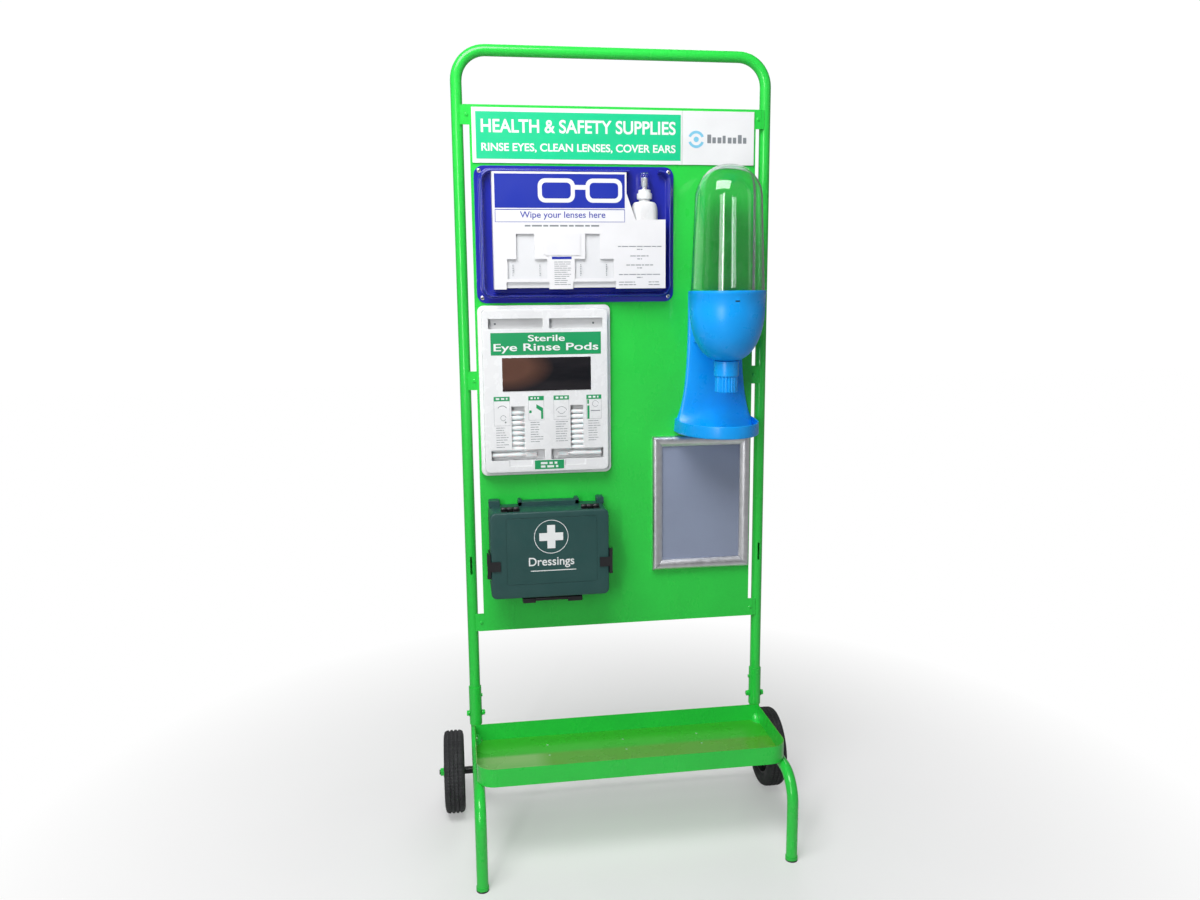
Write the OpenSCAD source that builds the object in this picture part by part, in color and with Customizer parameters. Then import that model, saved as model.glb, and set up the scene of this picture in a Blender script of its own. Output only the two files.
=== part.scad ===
// Mobile eye wash, first aid and ear protection point: a wheeled tube frame that carries a sheet
// panel with wall units on its front, and a shelf tray at the bottom.
// +Z is up, the front faces -Y, and the origin is on the ground under the middle of the footprint.

/* [Stand] */
// Outside diameter of the frame tube
tube_d = 25.4; // [22:0.1:28]
// Wall of the frame tube
tube_wall = 1.5; // [1:0.1:2.5]
// Distance of each upright from the middle
upright_x = 352; // [348:1:360]
// Overall height
frame_top = 1827.2; // [1800:0.1:1900]
// Centreline radius of the two upper corners
corner_r = 65; // [50:1:90]
// Distance of the feet in front of the uprights
foot_reach = 293; // [270:1:320]
// Outside diameter of the joining sleeves
sleeve_d = 30; // [29:0.5:32]
// Height of the sleeve tops
sleeve_top = 348; // [335:1:360]

/* [Wheels] */
// Wheel radius
wheel_r = 100; // [95:1:105]
// Wheel width
wheel_w = 50; // [40:1:54]
// Distance of the wheel's middle from the centre
wheel_x = 408.6; // [405:0.1:420]
// Distance of the axle behind the uprights
axle_back = 62; // [55:1:75]
// Axle radius
axle_r = 6; // [5:0.5:8]
// Radial clearance of every turning fit
run_gap = 0.05; // [0.02:0.01:0.09]

/* [Panel] */
// Width of the panel
panel_w = 652; // [640:1:660]
// Bottom edge of the panel
panel_z0 = 492; // [470:1:500]
// Top edge of the panel
panel_z1 = 1698; // [1690:1:1720]
// Sheet thickness
sheet_t = 1.6; // [1:0.1:2]

/* [Shelf tray] */
// Width of the shelf tray
tray_w = 713; // [700:1:720]
// Depth of the shelf tray
tray_d = 231; // [200:1:240]
// Height of the tray's wall
tray_h = 42.5; // [35:0.5:60]
// Radius of the front corners
tray_r = 42; // [30:1:60]

/* [Hidden] */
$fn = 64;
gap = 0.3;
tube_r = tube_d / 2;
ferrule_r = tube_r + 1.3;
ferrule_h = 10;
ferrule_floor = 2;
up_y = (foot_reach + ferrule_r - axle_back - wheel_r) / 2;
face_y = up_y - tube_r - 2.9;
bar_z = frame_top - tube_r;
leg_bend_r = 50;
foot_bend_r = 65;
tray_z = 213;
run_z = tray_z - tube_r - 0.1;
leg_top = 300;
leg_inner_r = tube_r - tube_wall;
sleeve_r = sleeve_d / 2;
sleeve_bottom = run_z + leg_bend_r + 3;
bolt_z = 280;
rivet_z = 325;
bolt_r = 4;
slot_z0 = 632;
slot_h = 44;
slot_w = 5;
// Lug rows: bottom, middle and top
lug_h = 43;
lug_rows = [panel_z0, 1070, panel_z1 - lug_h];
lug_screw_x = panel_w / 2 + 5.5;
ear_w = 12.5;
lug_t = 3;
screw_r = 2.5;
// Shelf tray holes, in three pairs
hole_x = 184;
hole_y = [50, 102];
hole_r = 3;
axle_y = up_y + axle_back;
axle_end = wheel_x + wheel_w / 2 + 13;
rim_r = 68;
hub_r = 18;
// Sign boards
sign_z = [1574, 1692];
sign_x = [-321, 152];
emblem_x = [153, 321];
board_t = 3;
// Lens cleaning unit
lens_x = [-320, 132.5];
lens_z = [1266.5, 1568.5];
lens_ring_x = [-308, 124];
lens_ring_z = [1279, 1560];
lens_ring_h = 24;
lens_wall = 7;
lens_floor = 3;
card_x = [-282, 105];
card_z = [1297, 1551];
card_header_x = 16;
card_step_z = 1449;
card_depth = 45;
card_t = 1.5;
bottle_x = 61;
bottle_w = 60;
bottle_d = 38;
bottle_y = face_y - lens_floor - 0.5 - bottle_d / 2;
bottle_z = [1290, 1490];
collar_z = [1495, 1515.5];
nozzle_z = 1524.5;
overcap_z = 1553;
// Eye wash pod dispenser
case_x = [-321, -17.5];
case_z = [871, 1261.5];
case_r = 14;
case_back_d = 12;
case_d = 27;
case_wall = 2;
cover_inset = 8.5;
mirror_x = [-269, -66];
mirror_z = [1068, 1144];
window_x = [[-298, -175], [-160, -38]];
sight_x = [[-250, -220], [-114, -85]];
pod_r = 5.6;
pod_len = 80;
pod_pitch = 12;
pod_depth = 16;
pod_count = 8;
// First aid box
kit_x = [-309, -38];
kit_z = [600, 801];
kit_bracket_t = 4;
kit_split = 70;
kit_d = 100;
kit_wall = 2.5;
kit_r = 12;
kit_ridge_h = 14;
kit_ridge_t = 10;
hinge_z = kit_z[1] + 3;
hinge_r = 2;
barrel_r = 4.5;
knuckles = [[-282, -240], [-98, -56]];
clip_z = [655, 702];
clip_pin_r = 1.5;
clip_out = 4.2;
clip_len = 50;
mount_pad = 22;
handle_x = [-243, -95];
handle_pin_r = 3;
// Earplug dispenser
disp_x = 233;
disp_out = 106;
disp_y = face_y - disp_out;
dome_r = 82.4;
dome_top_r = 75;
dome_seat_r = 77;
dome_wall = 2.5;
dome_z = [1284, 1564];
cup_r = 86;
cup_wall = 3;
cup_z = [1134, 1290];
neck_r = 18;
knob_z = [1063, 1133];
knob_r = 28;
catch_z = [960, 989];
catch_w = 97;
catch_out = 155;
disp_screw_z = [1150, 1280];
// Snap frame for a printed sheet
snap_x = [82.5, 322.5];
snap_z = [622.8, 949.8];
rail_w = 25;
rail_t = 11;
snap_base_t = 2;
snap_sheet_t = 0.5;
rail_gap = 0.4;
bead_r = 0.7;

// ---- shared shapes ----

// Turns a drawing in X and Y into one in X and Z, grown from face plane y0 towards the front by depth
module stand_up(y0, depth) {
  translate([0, y0, 0]) rotate([90, 0, 0]) linear_extrude(depth) children();
}

// A rectangle from spans in X and Z, with round corners
module round_rect(xs, zs, r) {
  translate([xs[0] + r, zs[0]]) square([xs[1] - xs[0] - 2 * r, zs[1] - zs[0]]);
  translate([xs[0], zs[0] + r]) square([xs[1] - xs[0], zs[1] - zs[0] - 2 * r]);
  for (x = [xs[0] + r, xs[1] - r], z = [zs[0] + r, zs[1] - r]) translate([x, z]) circle(r);
}

module rect(xs, zs) {
  translate([xs[0], zs[0]]) square([xs[1] - xs[0], zs[1] - zs[0]]);
}

function grow(span, by) = [span[0] - by, span[1] + by];

// A cylinder along X from x0 to x1
module x_rod(x0, x1, r) {
  translate([x0, 0, 0]) rotate([0, 90, 0]) cylinder(h = x1 - x0, r = r);
}

// A ring-shaped cylinder, or a solid one where inner is 0
module pipe(h, r, inner) {
  difference() {
    cylinder(h = h, r = r);
    if (inner > 0) translate([0, 0, -1]) cylinder(h = h + 2, r = inner);
  }
}

// A quarter-turn or smaller bend of pipe about Z, starting on +X
module bend(angle, big_r, r, inner) {
  rotate_extrude(angle = angle) translate([big_r, 0]) difference() {
    circle(r);
    if (inner > 0) circle(inner);
  }
}

module both_sides() {
  children();
  mirror([1, 0, 0]) children();
}

// A pan-head screw pointing back (+Y) with its head's seat at y = 0
module front_screw(head_r, shank_r, length) {
  rotate([90, 0, 0]) {
    cylinder(h = 1.2, r = head_r);
    translate([0, 0, 1.2]) cylinder(h = 0.9, r1 = head_r, r2 = head_r * 0.6);
    translate([0, 0, -length]) cylinder(h = length, r = shank_r);
  }
}

// ---- stand ----

// One upright, from inside its sleeve to the start of the corner bend, with a slot in its front
module upright() {
  h = bar_z - corner_r - leg_top - 3;
  translate([upright_x, up_y, leg_top + 3]) difference() {
    pipe(h, tube_r, leg_inner_r);
    translate([0, 0, slot_z0 - leg_top - 3]) {
      translate([-slot_w / 2, -tube_r - 1, slot_w / 2]) cube([slot_w, tube_r, slot_h - slot_w]);
      for (z = [slot_w / 2, slot_h - slot_w / 2]) {
        translate([0, -1, z]) rotate([90, 0, 0]) cylinder(h = tube_r, r = slot_w / 2);
      }
    }
    translate([0, 0, rivet_z - leg_top - 3]) x_rod(-tube_r - 1, 0, screw_r);
  }
}

module upper_frame() {
  color([0.2, 0.72, 0.25]) union() {
    both_sides() upright();
    both_sides() translate([upright_x - corner_r, up_y, bar_z - corner_r]) rotate([90, 0, 0])
      bend(90, corner_r, tube_r, leg_inner_r);
    translate([0, up_y, bar_z]) rotate([0, 90, 0]) translate([0, 0, -upright_x + corner_r])
      pipe(2 * (upright_x - corner_r), tube_r, leg_inner_r);
  }
}

// The sheet, with six ears that reach out over the lugs, and stiffening folds at top and bottom
module panel() {
  fold_x = panel_w / 2 - 28;
  color([0.2, 0.72, 0.25]) difference() {
    union() {
      stand_up(face_y + sheet_t, sheet_t) {
        rect([-panel_w / 2, panel_w / 2], [panel_z0, panel_z1]);
        for (z = lug_rows) rect([-panel_w / 2 - ear_w, panel_w / 2 + ear_w], [z, z + lug_h]);
      }
      for (z = [panel_z0, panel_z1 - sheet_t]) {
        translate([-fold_x, face_y, z]) cube([2 * fold_x, 12, sheet_t]);
      }
    }
    lug_holes();
  }
}

module lug_holes() {
  for (z = lug_rows, x = [-lug_screw_x, lug_screw_x]) {
    translate([x, face_y - 1, z + lug_h / 2]) rotate([-90, 0, 0]) cylinder(h = 12, r = screw_r + 0.1);
  }
}

module panel_lugs() {
  color([0.2, 0.72, 0.25]) difference() {
    both_sides() for (z = lug_rows) {
      translate([panel_w / 2 - 18, face_y + sheet_t, z + 0.5]) cube([38, lug_t, lug_h - 1]);
    }
    both_sides() translate([upright_x, up_y, 0]) cylinder(h = frame_top, r = tube_r);
    lug_holes();
  }
}

module panel_screws() {
  color([0.3, 0.8, 0.35]) for (z = lug_rows, x = [-lug_screw_x, lug_screw_x]) {
    translate([x, face_y, z + lug_h / 2]) front_screw(4, screw_r, sheet_t + lug_t + 5);
  }
}

module joining_sleeves() {
  color([0.2, 0.72, 0.25]) both_sides() translate([upright_x, up_y, 0]) difference() {
    translate([0, 0, sleeve_bottom]) pipe(sleeve_top - sleeve_bottom, sleeve_r, tube_r + run_gap);
    translate([0, 0, bolt_z]) x_rod(-20, 20, bolt_r + 0.1);
    translate([0, 0, rivet_z]) x_rod(-20, 0, screw_r);
  }
}

module sleeve_bolts() {
  color([0.25, 0.7, 0.3]) both_sides() translate([upright_x, up_y, bolt_z]) {
    x_rod(-sleeve_r - 8, sleeve_r, bolt_r);
    translate([sleeve_r, 0, 0]) rotate([0, 90, 0]) {
      cylinder(h = 1.5, r = 8);
      translate([0, 0, 1.5]) cylinder(h = 5, r = 7, $fn = 6);
    }
  }
}

module sleeve_nuts() {
  color([0.25, 0.7, 0.3]) both_sides() translate([upright_x - sleeve_r, up_y, bolt_z]) rotate([0, -90, 0]) {
    difference() {
      union() {
        cylinder(h = 1.2, r = 7.5);
        translate([0, 0, 1.2]) cylinder(h = 5.5, r = 7, $fn = 6);
      }
      translate([0, 0, -1]) cylinder(h = 10, r = bolt_r + run_gap);
    }
  }
}

module sleeve_rivets() {
  color([0.25, 0.7, 0.3]) both_sides() translate([upright_x, up_y, rivet_z]) {
    x_rod(-sleeve_r, -leg_inner_r + 2, screw_r - 0.05);
    x_rod(-sleeve_r - 2.4, -sleeve_r, 4);
  }
}

// Centreline of a leg: down the sleeve, forward under the shelf, then down to the floor
module leg_path(r, inner) {
  bend2_y = -foot_reach + foot_bend_r;
  translate([0, 0, run_z + leg_bend_r]) pipe(leg_top - run_z - leg_bend_r, r, inner);
  translate([0, -leg_bend_r, run_z + leg_bend_r]) rotate([0, 90, 0]) bend(90, leg_bend_r, r, inner);
  translate([0, -leg_bend_r, run_z]) rotate([90, 0, 0]) pipe(-bend2_y - leg_bend_r, r, inner);
  translate([0, bend2_y, run_z - foot_bend_r]) rotate([0, -90, 180]) bend(90, foot_bend_r, r, inner);
  translate([0, -foot_reach, ferrule_floor]) pipe(run_z - foot_bend_r - ferrule_floor, r, inner);
}

module leg() {
  color([0.2, 0.72, 0.25]) translate([upright_x, up_y, 0]) difference() {
    leg_path(tube_r, leg_inner_r);
    translate([0, 0, bolt_z]) x_rod(-20, 20, bolt_r + 0.1);
  }
}

module leg_right() {
  leg();
}

module leg_left() {
  mirror([1, 0, 0]) leg();
}

module foot_ferrules() {
  color([0.05, 0.05, 0.05]) both_sides() translate([upright_x, up_y - foot_reach, 0]) difference() {
    cylinder(h = ferrule_h, r = ferrule_r);
    translate([0, 0, ferrule_floor]) cylinder(h = ferrule_h, r = tube_r + 0.02);
  }
}

// Outline of the shelf tray, shrunk by inset, in plan
module tray_outline(inset) {
  w = tray_w / 2 - inset;
  front = -tray_d + inset;
  r = tray_r - inset;
  translate([-w, front + r]) square([2 * w, tray_d - 2 * inset - r]);
  translate([-w + r, front]) square([2 * (w - r), r + 1]);
  for (x = [-w + r, w - r]) translate([x, front + r]) circle(r);
}

// Folded tray with three pairs of holes, notched at the back where the legs bend past it
module shelf_tray() {
  color([0.2, 0.72, 0.25]) difference() {
    translate([0, face_y, tray_z]) difference() {
      linear_extrude(tray_h) tray_outline(0);
      translate([0, 0, sheet_t]) linear_extrude(tray_h) tray_outline(sheet_t);
      for (x = [-hole_x, 0, hole_x], y = hole_y) translate([x, -y, -1]) cylinder(h = 5, r = hole_r);
    }
    both_sides() translate([upright_x, up_y, 0]) leg_path(tube_r + gap, 0);
  }
}

module axle() {
  color([0.08, 0.08, 0.08]) translate([0, axle_y, wheel_r]) x_rod(-axle_end, axle_end, axle_r);
}

// Flat gusset that carries the axle behind each leg
module axle_brackets() {
  t = 6;
  color([0.2, 0.72, 0.25]) both_sides() difference() {
    translate([upright_x - t / 2, up_y, 0]) rotate([90, 0, 90]) linear_extrude(t)
      polygon([[2, 247], [18, 247], [axle_back + 18, 116], [axle_back + 18, 88], [axle_back - 14, 84],
               [-30, 188]]);
    translate([upright_x, up_y, 0]) leg_path(tube_r, 0);
    translate([0, axle_y, wheel_r]) x_rod(0, axle_end, axle_r + run_gap);
  }
}

module axle_spacers() {
  color([0.08, 0.08, 0.08]) both_sides() translate([0, axle_y, wheel_r]) difference() {
    x_rod(upright_x + 3.2, wheel_x - wheel_w / 2 - gap, 9);
    x_rod(0, axle_end, axle_r + run_gap);
  }
}

module axle_nuts() {
  x0 = wheel_x + wheel_w / 2 + gap;
  color([0.25, 0.7, 0.3]) both_sides() translate([0, axle_y, wheel_r]) difference() {
    union() {
      x_rod(x0, x0 + 2, 14);
      translate([x0 + 2, 0, 0]) rotate([0, 90, 0]) cylinder(h = 8, r = 10.5, $fn = 6);
    }
    x_rod(0, axle_end + 20, axle_r + run_gap);
  }
}

// Tyre section with chamfered shoulders and three grooves round the tread
module tyre_section() {
  h = wheel_w / 2;
  difference() {
    polygon([[rim_r + 0.05, -h + 6], [rim_r + 8, -h], [wheel_r - 12, -h], [wheel_r - 2, -h + 5],
             [wheel_r, -h + 10], [wheel_r, h - 10], [wheel_r - 2, h - 5], [wheel_r - 12, h],
             [rim_r + 8, h], [rim_r + 0.05, h - 6]]);
    for (z = [-9, 0, 9]) translate([wheel_r - 3, z - 1.25]) square([4, 2.5]);
  }
}

module tyre() {
  color([0.06, 0.06, 0.06]) translate([wheel_x, axle_y, wheel_r]) rotate([0, 90, 0])
    rotate_extrude() tyre_section();
}

module tyre_right() {
  tyre();
}

module tyre_left() {
  mirror([1, 0, 0]) tyre();
}

// Wheel centre: hub, pierced web and outer band
module rim() {
  h = wheel_w / 2;
  color([0.1, 0.1, 0.1]) translate([wheel_x, axle_y, wheel_r]) rotate([0, 90, 0]) difference() {
    rotate_extrude() polygon([[0, -h], [hub_r, -h], [hub_r + 2, -5], [rim_r - 6, -5], [rim_r - 4, -h + 6],
                              [rim_r, -h + 6], [rim_r, h - 6], [rim_r - 4, h - 6], [rim_r - 6, 5],
                              [hub_r + 2, 5], [hub_r, h], [0, h]]);
    translate([0, 0, -h - 1]) cylinder(h = wheel_w + 2, r = axle_r + run_gap);
    for (a = [0:60:300]) rotate([0, 0, a]) translate([(hub_r + rim_r) / 2 - 1, 0, -10]) cylinder(h = 20, r = 13);
  }
}

module rim_right() {
  rim();
}

module rim_left() {
  mirror([1, 0, 0]) rim();
}

// ---- signs ----

module sign_board() {
  color([0.95, 0.95, 0.95]) stand_up(face_y, board_t) rect(sign_x, sign_z);
}

module emblem_plate() {
  color([0.93, 0.94, 0.96]) stand_up(face_y, board_t) rect(emblem_x, sign_z);
}

// ---- lens cleaning unit ----

lens_screw_spots = [for (x = [lens_x[0] + 12, lens_x[1] - 12], z = [lens_z[0] + 12, lens_z[1] - 12]) [x, z]];

// Formed tray: a flange with round corners and a raised rim round a recess
module lens_tray() {
  color([0.12, 0.14, 0.55]) difference() {
    union() {
      stand_up(face_y, lens_floor) round_rect(lens_x, lens_z, 21);
      stand_up(face_y, lens_ring_h) round_rect(lens_ring_x, lens_ring_z, 26);
    }
    stand_up(face_y - lens_floor, lens_ring_h)
      round_rect(grow(lens_ring_x, -lens_wall), grow(lens_ring_z, -lens_wall), 19);
    // Gap in the rim, for lifting the bottle out
    stand_up(face_y - lens_floor, lens_ring_h) rect([bottle_x - 34, bottle_x + 34], [1540, 1562]);
    for (s = lens_screw_spots) {
      translate([s[0], face_y, s[1]]) rotate([90, 0, 0]) cylinder(h = 40, r = screw_r + 0.1, center = true);
    }
  }
}

// Outline of the front card: the header is wide at the left, and the right part steps down
module card_outline() {
  polygon([[card_x[0], card_z[0]], [-255, card_z[0]], [-255, card_z[0] + 16], [-160, card_z[0] + 16],
           [-160, card_z[0]], [-106, card_z[0]], [-106, card_z[0] + 16], [-9, card_z[0] + 16],
           [-9, card_z[0]], [card_x[1], card_z[0]], [card_x[1], card_step_z], [36, card_step_z],
           [card_header_x, 1506], [card_header_x, card_z[1]], [card_x[0], card_z[1]]]);
}

// Front card with an open slot over each tissue box, and folds that reach back into the recess
module lens_card() {
  back_y = face_y - lens_floor - gap;
  depth = card_depth - lens_floor - gap;
  color([0.96, 0.96, 0.97]) union() {
    difference() {
      stand_up(face_y - card_depth + card_t, card_t) card_outline();
      stand_up(face_y, card_depth + 1) {
        rect([-232, -192], [1362, 1418]);
        rect([-78, -45], [1362, 1418]);
        rect([-252, -164], [1320, 1363]);
        rect([-102, -14], [1320, 1363]);
      }
    }
    stand_up(back_y, depth) {
      rect([card_x[0], card_x[0] + card_t], card_z);
      rect([card_x[1] - card_t, card_x[1]], [card_z[0], card_step_z]);
      rect([card_x[0], card_header_x], [card_z[1] - card_t, card_z[1]]);
    }
    // Raised rectangle between the two slots
    stand_up(face_y - card_depth, 1.5) rect([-167, -89], [1371, 1421]);
  }
}

module lens_screws() {
  color([0.8, 0.8, 0.82]) for (s = lens_screw_spots) {
    translate([s[0], face_y - lens_floor, s[1]]) front_screw(4.5, screw_r, lens_floor - 0.1);
  }
}

module tissue_boxes() {
  color([0.92, 0.92, 0.93]) stand_up(face_y - lens_floor - gap, card_depth - lens_floor - 6) {
    rect([-258, -150], [1300, 1440]);
    rect([-108, -8], [1300, 1440]);
  }
}

// Flat-sided oval with the bottle's section, shrunk by inset
module bottle_oval(inset) {
  r = bottle_d / 2 - inset;
  reach = (bottle_w - bottle_d) / 2;
  translate([-reach, -r]) square([2 * reach, 2 * r]);
  for (x = [-reach, reach]) translate([x, 0]) circle(r);
}

module spray_bottle() {
  color([0.95, 0.95, 0.96]) translate([bottle_x, bottle_y, bottle_z[0]]) difference() {
    union() {
      linear_extrude(bottle_z[1] - bottle_z[0] - 6) bottle_oval(0);
      translate([0, 0, bottle_z[1] - bottle_z[0] - 6]) linear_extrude(6) bottle_oval(5);
      cylinder(h = 222, r = 12);
    }
    translate([0, 0, 2]) linear_extrude(bottle_z[1] - bottle_z[0] - 12) bottle_oval(2);
    translate([0, 0, 2]) cylinder(h = 300, r = 9);
  }
}

module spray_collar() {
  color([0.95, 0.95, 0.96]) translate([bottle_x, bottle_y, collar_z[0]]) difference() {
    cylinder(h = collar_z[1] - collar_z[0], r = 17);
    translate([0, 0, -1]) cylinder(h = 19, r = 12 + run_gap);
    cylinder(h = 40, r = 5 + run_gap);
  }
}

// Push-down spray head on its stem, with the dip tube below it
module spray_head() {
  color([0.9, 0.9, 0.92]) translate([bottle_x, bottle_y, 0]) difference() {
    union() {
      translate([0, 0, bottle_z[0] + 8]) cylinder(h = nozzle_z - bottle_z[0] - 7, r = 1.8);
      translate([0, 0, bottle_z[1] + 8]) cylinder(h = nozzle_z - bottle_z[1] - 7, r = 5);
      translate([0, 0, nozzle_z]) cylinder(h = 18, r = 7);
    }
    translate([0, -4, nozzle_z + 12]) rotate([90, 0, 0]) cylinder(h = 10, r = 0.8);
  }
}

module spray_overcap() {
  color([0.9, 0.92, 0.95, 0.4]) translate([bottle_x, bottle_y, collar_z[1] + 0.1]) difference() {
    cylinder(h = overcap_z - collar_z[1], r = 10.5);
    translate([0, 0, -1]) cylinder(h = overcap_z - collar_z[1] - 0.5, r = 9.2);
  }
}

// ---- eye wash pod dispenser ----

module pod_case_back() {
  color([0.96, 0.96, 0.96]) difference() {
    stand_up(face_y, case_back_d) round_rect(case_x, case_z, case_r);
    stand_up(face_y - case_wall, case_back_d)
      round_rect(grow(case_x, -cover_inset - 3), grow(case_z, -cover_inset - 3), 6);
    pod_screw_holes();
  }
}

module pod_screw_holes() {
  for (x = [-282, -57], z = [890, 1220]) {
    translate([x, face_y, z]) rotate([90, 0, 0]) cylinder(h = 20, r = screw_r + 0.1, center = true);
  }
}

// Cover with two loading windows, two sight windows and two outlets with a finger notch each
module pod_case_front() {
  xs = grow(case_x, -cover_inset);
  zs = grow(case_z, -cover_inset);
  color([0.97, 0.97, 0.97]) difference() {
    stand_up(face_y - case_back_d, case_d - case_back_d) round_rect(xs, zs, case_r - 4);
    stand_up(face_y - case_back_d + 1, case_d - case_back_d - case_wall + 1)
      round_rect(grow(xs, -3), grow(zs, -3), 6);
    stand_up(face_y, case_d + 1) {
      for (w = window_x) {
        rect(w, [1209, 1231.5]);
        rect(w, [908, 932]);
      }
      for (s = sight_x) rect(s, [934, 1032.5]);
      rect([-257, -205], [894, 909]);
      rect([-128, -80], [894, 909]);
    }
  }
}

module pod_mirror() {
  color([0.2, 0.2, 0.22]) stand_up(face_y - case_d, 1) rect(mirror_x, mirror_z);
}

// One sealed pod lying along X: a round body with a flat twist-off tab at its inner end
module pod(side) {
  rotate([0, 90, 0]) cylinder(h = pod_len, r = pod_r, center = true);
  translate([side > 0 ? -pod_len / 2 - 24 : pod_len / 2, -7, -0.8]) cube([24, 14, 1.6]);
}

module pod_stack() {
  color([0.85, 0.88, 0.9]) for (i = [1:pod_count]) {
    translate([-258, face_y - pod_depth, 920 + i * pod_pitch]) pod(-1);
    translate([-79, face_y - pod_depth, 920 + i * pod_pitch]) pod(1);
  }
}

module pod_left() {
  color([0.85, 0.88, 0.9]) translate([-256, face_y - pod_depth, 919.5]) pod(-1);
}

module pod_right() {
  color([0.85, 0.88, 0.9]) translate([-81, face_y - pod_depth, 919.5]) pod(1);
}

module pod_case_screws() {
  color([0.6, 0.6, 0.6]) for (x = [-282, -57], z = [890, 1220]) {
    translate([x, face_y - case_wall, z]) front_screw(4, screw_r, case_wall - 0.1);
  }
}

// ---- first aid box ----

kit_mid = (kit_x[0] + kit_x[1]) / 2;
hinge_y = face_y - kit_split;
handle_y = face_y - 37;

// Notch in the top of the box round one hinge, reaching forward into the lid
module hinge_notch(k) {
  translate([k[0] - 0.5, hinge_y - 20, kit_z[1] - 6]) cube([k[1] - k[0] + 1, 28, 20]);
}

// One hinge barrel from x0 to x1, on a foot that reaches side (+1 base, -1 lid) into the top wall
module knuckle(x0, x1, side) {
  difference() {
    union() {
      translate([x0, hinge_y + (side > 0 ? 0.5 : -10), kit_z[1] - 4]) cube([x1 - x0, 9.5, 6]);
      if (side < 0) translate([x0, hinge_y - 22, kit_z[1] - 4]) cube([x1 - x0, 13, 2.5]);
      translate([0, hinge_y, hinge_z]) x_rod(x0, x1, barrel_r);
    }
    translate([0, hinge_y, hinge_z]) x_rod(x0 - 1, x1 + 1, hinge_r + run_gap);
  }
}

module kit_base() {
  y0 = face_y - kit_bracket_t - gap;
  depth = kit_split - kit_bracket_t - 2 * gap;
  top = kit_z[1];
  color([0.2, 0.32, 0.31]) union() {
    difference() {
      stand_up(y0, depth) round_rect(kit_x, kit_z, kit_r);
      stand_up(y0 - kit_wall, depth) round_rect(grow(kit_x, -kit_wall), grow(kit_z, -kit_wall), kit_r - 2);
      for (k = knuckles) hinge_notch(k);
    }
    for (k = knuckles) knuckle(k[0] + 14, k[0] + 28, 1);
    // Ridge along the back of the top, open behind each hinge, with a taller horn beside each opening
    stand_up(y0, kit_ridge_t) {
      rect([kit_x[0] + kit_r - 4, knuckles[0][0]], [top - 2, top + kit_ridge_h]);
      rect([knuckles[0][1], knuckles[1][0]], [top - 2, top + kit_ridge_h - 5]);
      rect([knuckles[1][1], kit_x[1] - kit_r + 4], [top - 2, top + kit_ridge_h]);
      for (x = [knuckles[0][1], knuckles[1][0] - 9]) rect([x, x + 9], [top, top + kit_ridge_h]);
    }
    // Lugs that hold the handle
    for (x = [handle_x[0] + 14, handle_x[1] - 26]) difference() {
      translate([x, handle_y - 7, kit_z[0] - 12]) cube([12, 14, 12.5]);
      translate([0, handle_y, kit_z[0] - 6]) x_rod(x - 1, x + 13, handle_pin_r);
    }
  }
}

module kit_lid() {
  y0 = face_y - kit_split;
  depth = kit_d - kit_split;
  color([0.2, 0.32, 0.31]) union() {
    difference() {
      stand_up(y0 - gap, depth) round_rect(kit_x, kit_z, kit_r);
      stand_up(y0 + 1, depth - kit_wall + 1)
        round_rect(grow(kit_x, -kit_wall), grow(kit_z, -kit_wall), kit_r - 2);
      // Groove that frames the front
      stand_up(face_y - kit_d + 0.7, 3) difference() {
        round_rect(grow(kit_x, -34), grow(kit_z, -20), 6);
        round_rect(grow(kit_x, -35.5), grow(kit_z, -21.5), 5);
      }
      for (k = knuckles) hinge_notch(k);
    }
    for (k = knuckles) {
      knuckle(k[0], k[0] + 13.7, -1);
      knuckle(k[0] + 28.3, k[1], -1);
    }
  }
}

module kit_hinge_pins() {
  color([0.6, 0.6, 0.62]) translate([0, hinge_y, hinge_z]) for (k = knuckles) x_rod(k[0], k[1], hinge_r);
}

// The clip pieces are drawn for the right side of the box, with the edge of its side at x = 0
pin_y = face_y - kit_d + 12;

module at_kit_sides() {
  translate([kit_x[1], 0, 0]) children();
  translate([kit_x[0], 0, 0]) mirror([1, 0, 0]) children();
}

// Black seat of a clip: a pad on the lid's front that wraps round the corner and holds the pin
module kit_clip_seats() {
  front = face_y - kit_d - gap;
  color([0.05, 0.05, 0.06]) at_kit_sides() difference() {
    union() {
      translate([-mount_pad, front - 3, clip_z[0] + 12]) cube([mount_pad + 7, 3, mount_pad]);
      translate([gap, front - 3, clip_z[0] - 5]) cube([7, 9, clip_z[1] - clip_z[0] + 10]);
      for (z = [clip_z[0] - 5, clip_z[1] + 0.5]) translate([gap, front, z]) cube([8, 17, 4.5]);
    }
    translate([clip_out, pin_y, clip_z[0] - 20]) cylinder(h = 100, r = clip_pin_r + run_gap);
  }
}

module kit_clip_pins() {
  color([0.6, 0.6, 0.62]) at_kit_sides() translate([clip_out, pin_y, clip_z[0] - 5])
    cylinder(h = clip_z[1] - clip_z[0] + 10, r = clip_pin_r);
}

// Side clip: a plate on a vertical pin, with a finger lip at its free end
module kit_clip() {
  color([0.05, 0.05, 0.06]) difference() {
    union() {
      translate([0.6, pin_y, clip_z[0]]) cube([3, clip_len, clip_z[1] - clip_z[0]]);
      translate([clip_out, pin_y, clip_z[0]]) cylinder(h = clip_z[1] - clip_z[0], r = 3.5);
      translate([0.6, pin_y + clip_len - 5, clip_z[0] + 8]) cube([6.5, 5, clip_z[1] - clip_z[0] - 16]);
    }
    translate([clip_out, pin_y, clip_z[0] - 1]) cylinder(h = 60, r = clip_pin_r + run_gap);
  }
}

module kit_clip_right() {
  translate([kit_x[1], 0, 0]) kit_clip();
}

module kit_clip_left() {
  translate([kit_x[0], 0, 0]) mirror([1, 0, 0]) kit_clip();
}

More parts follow.
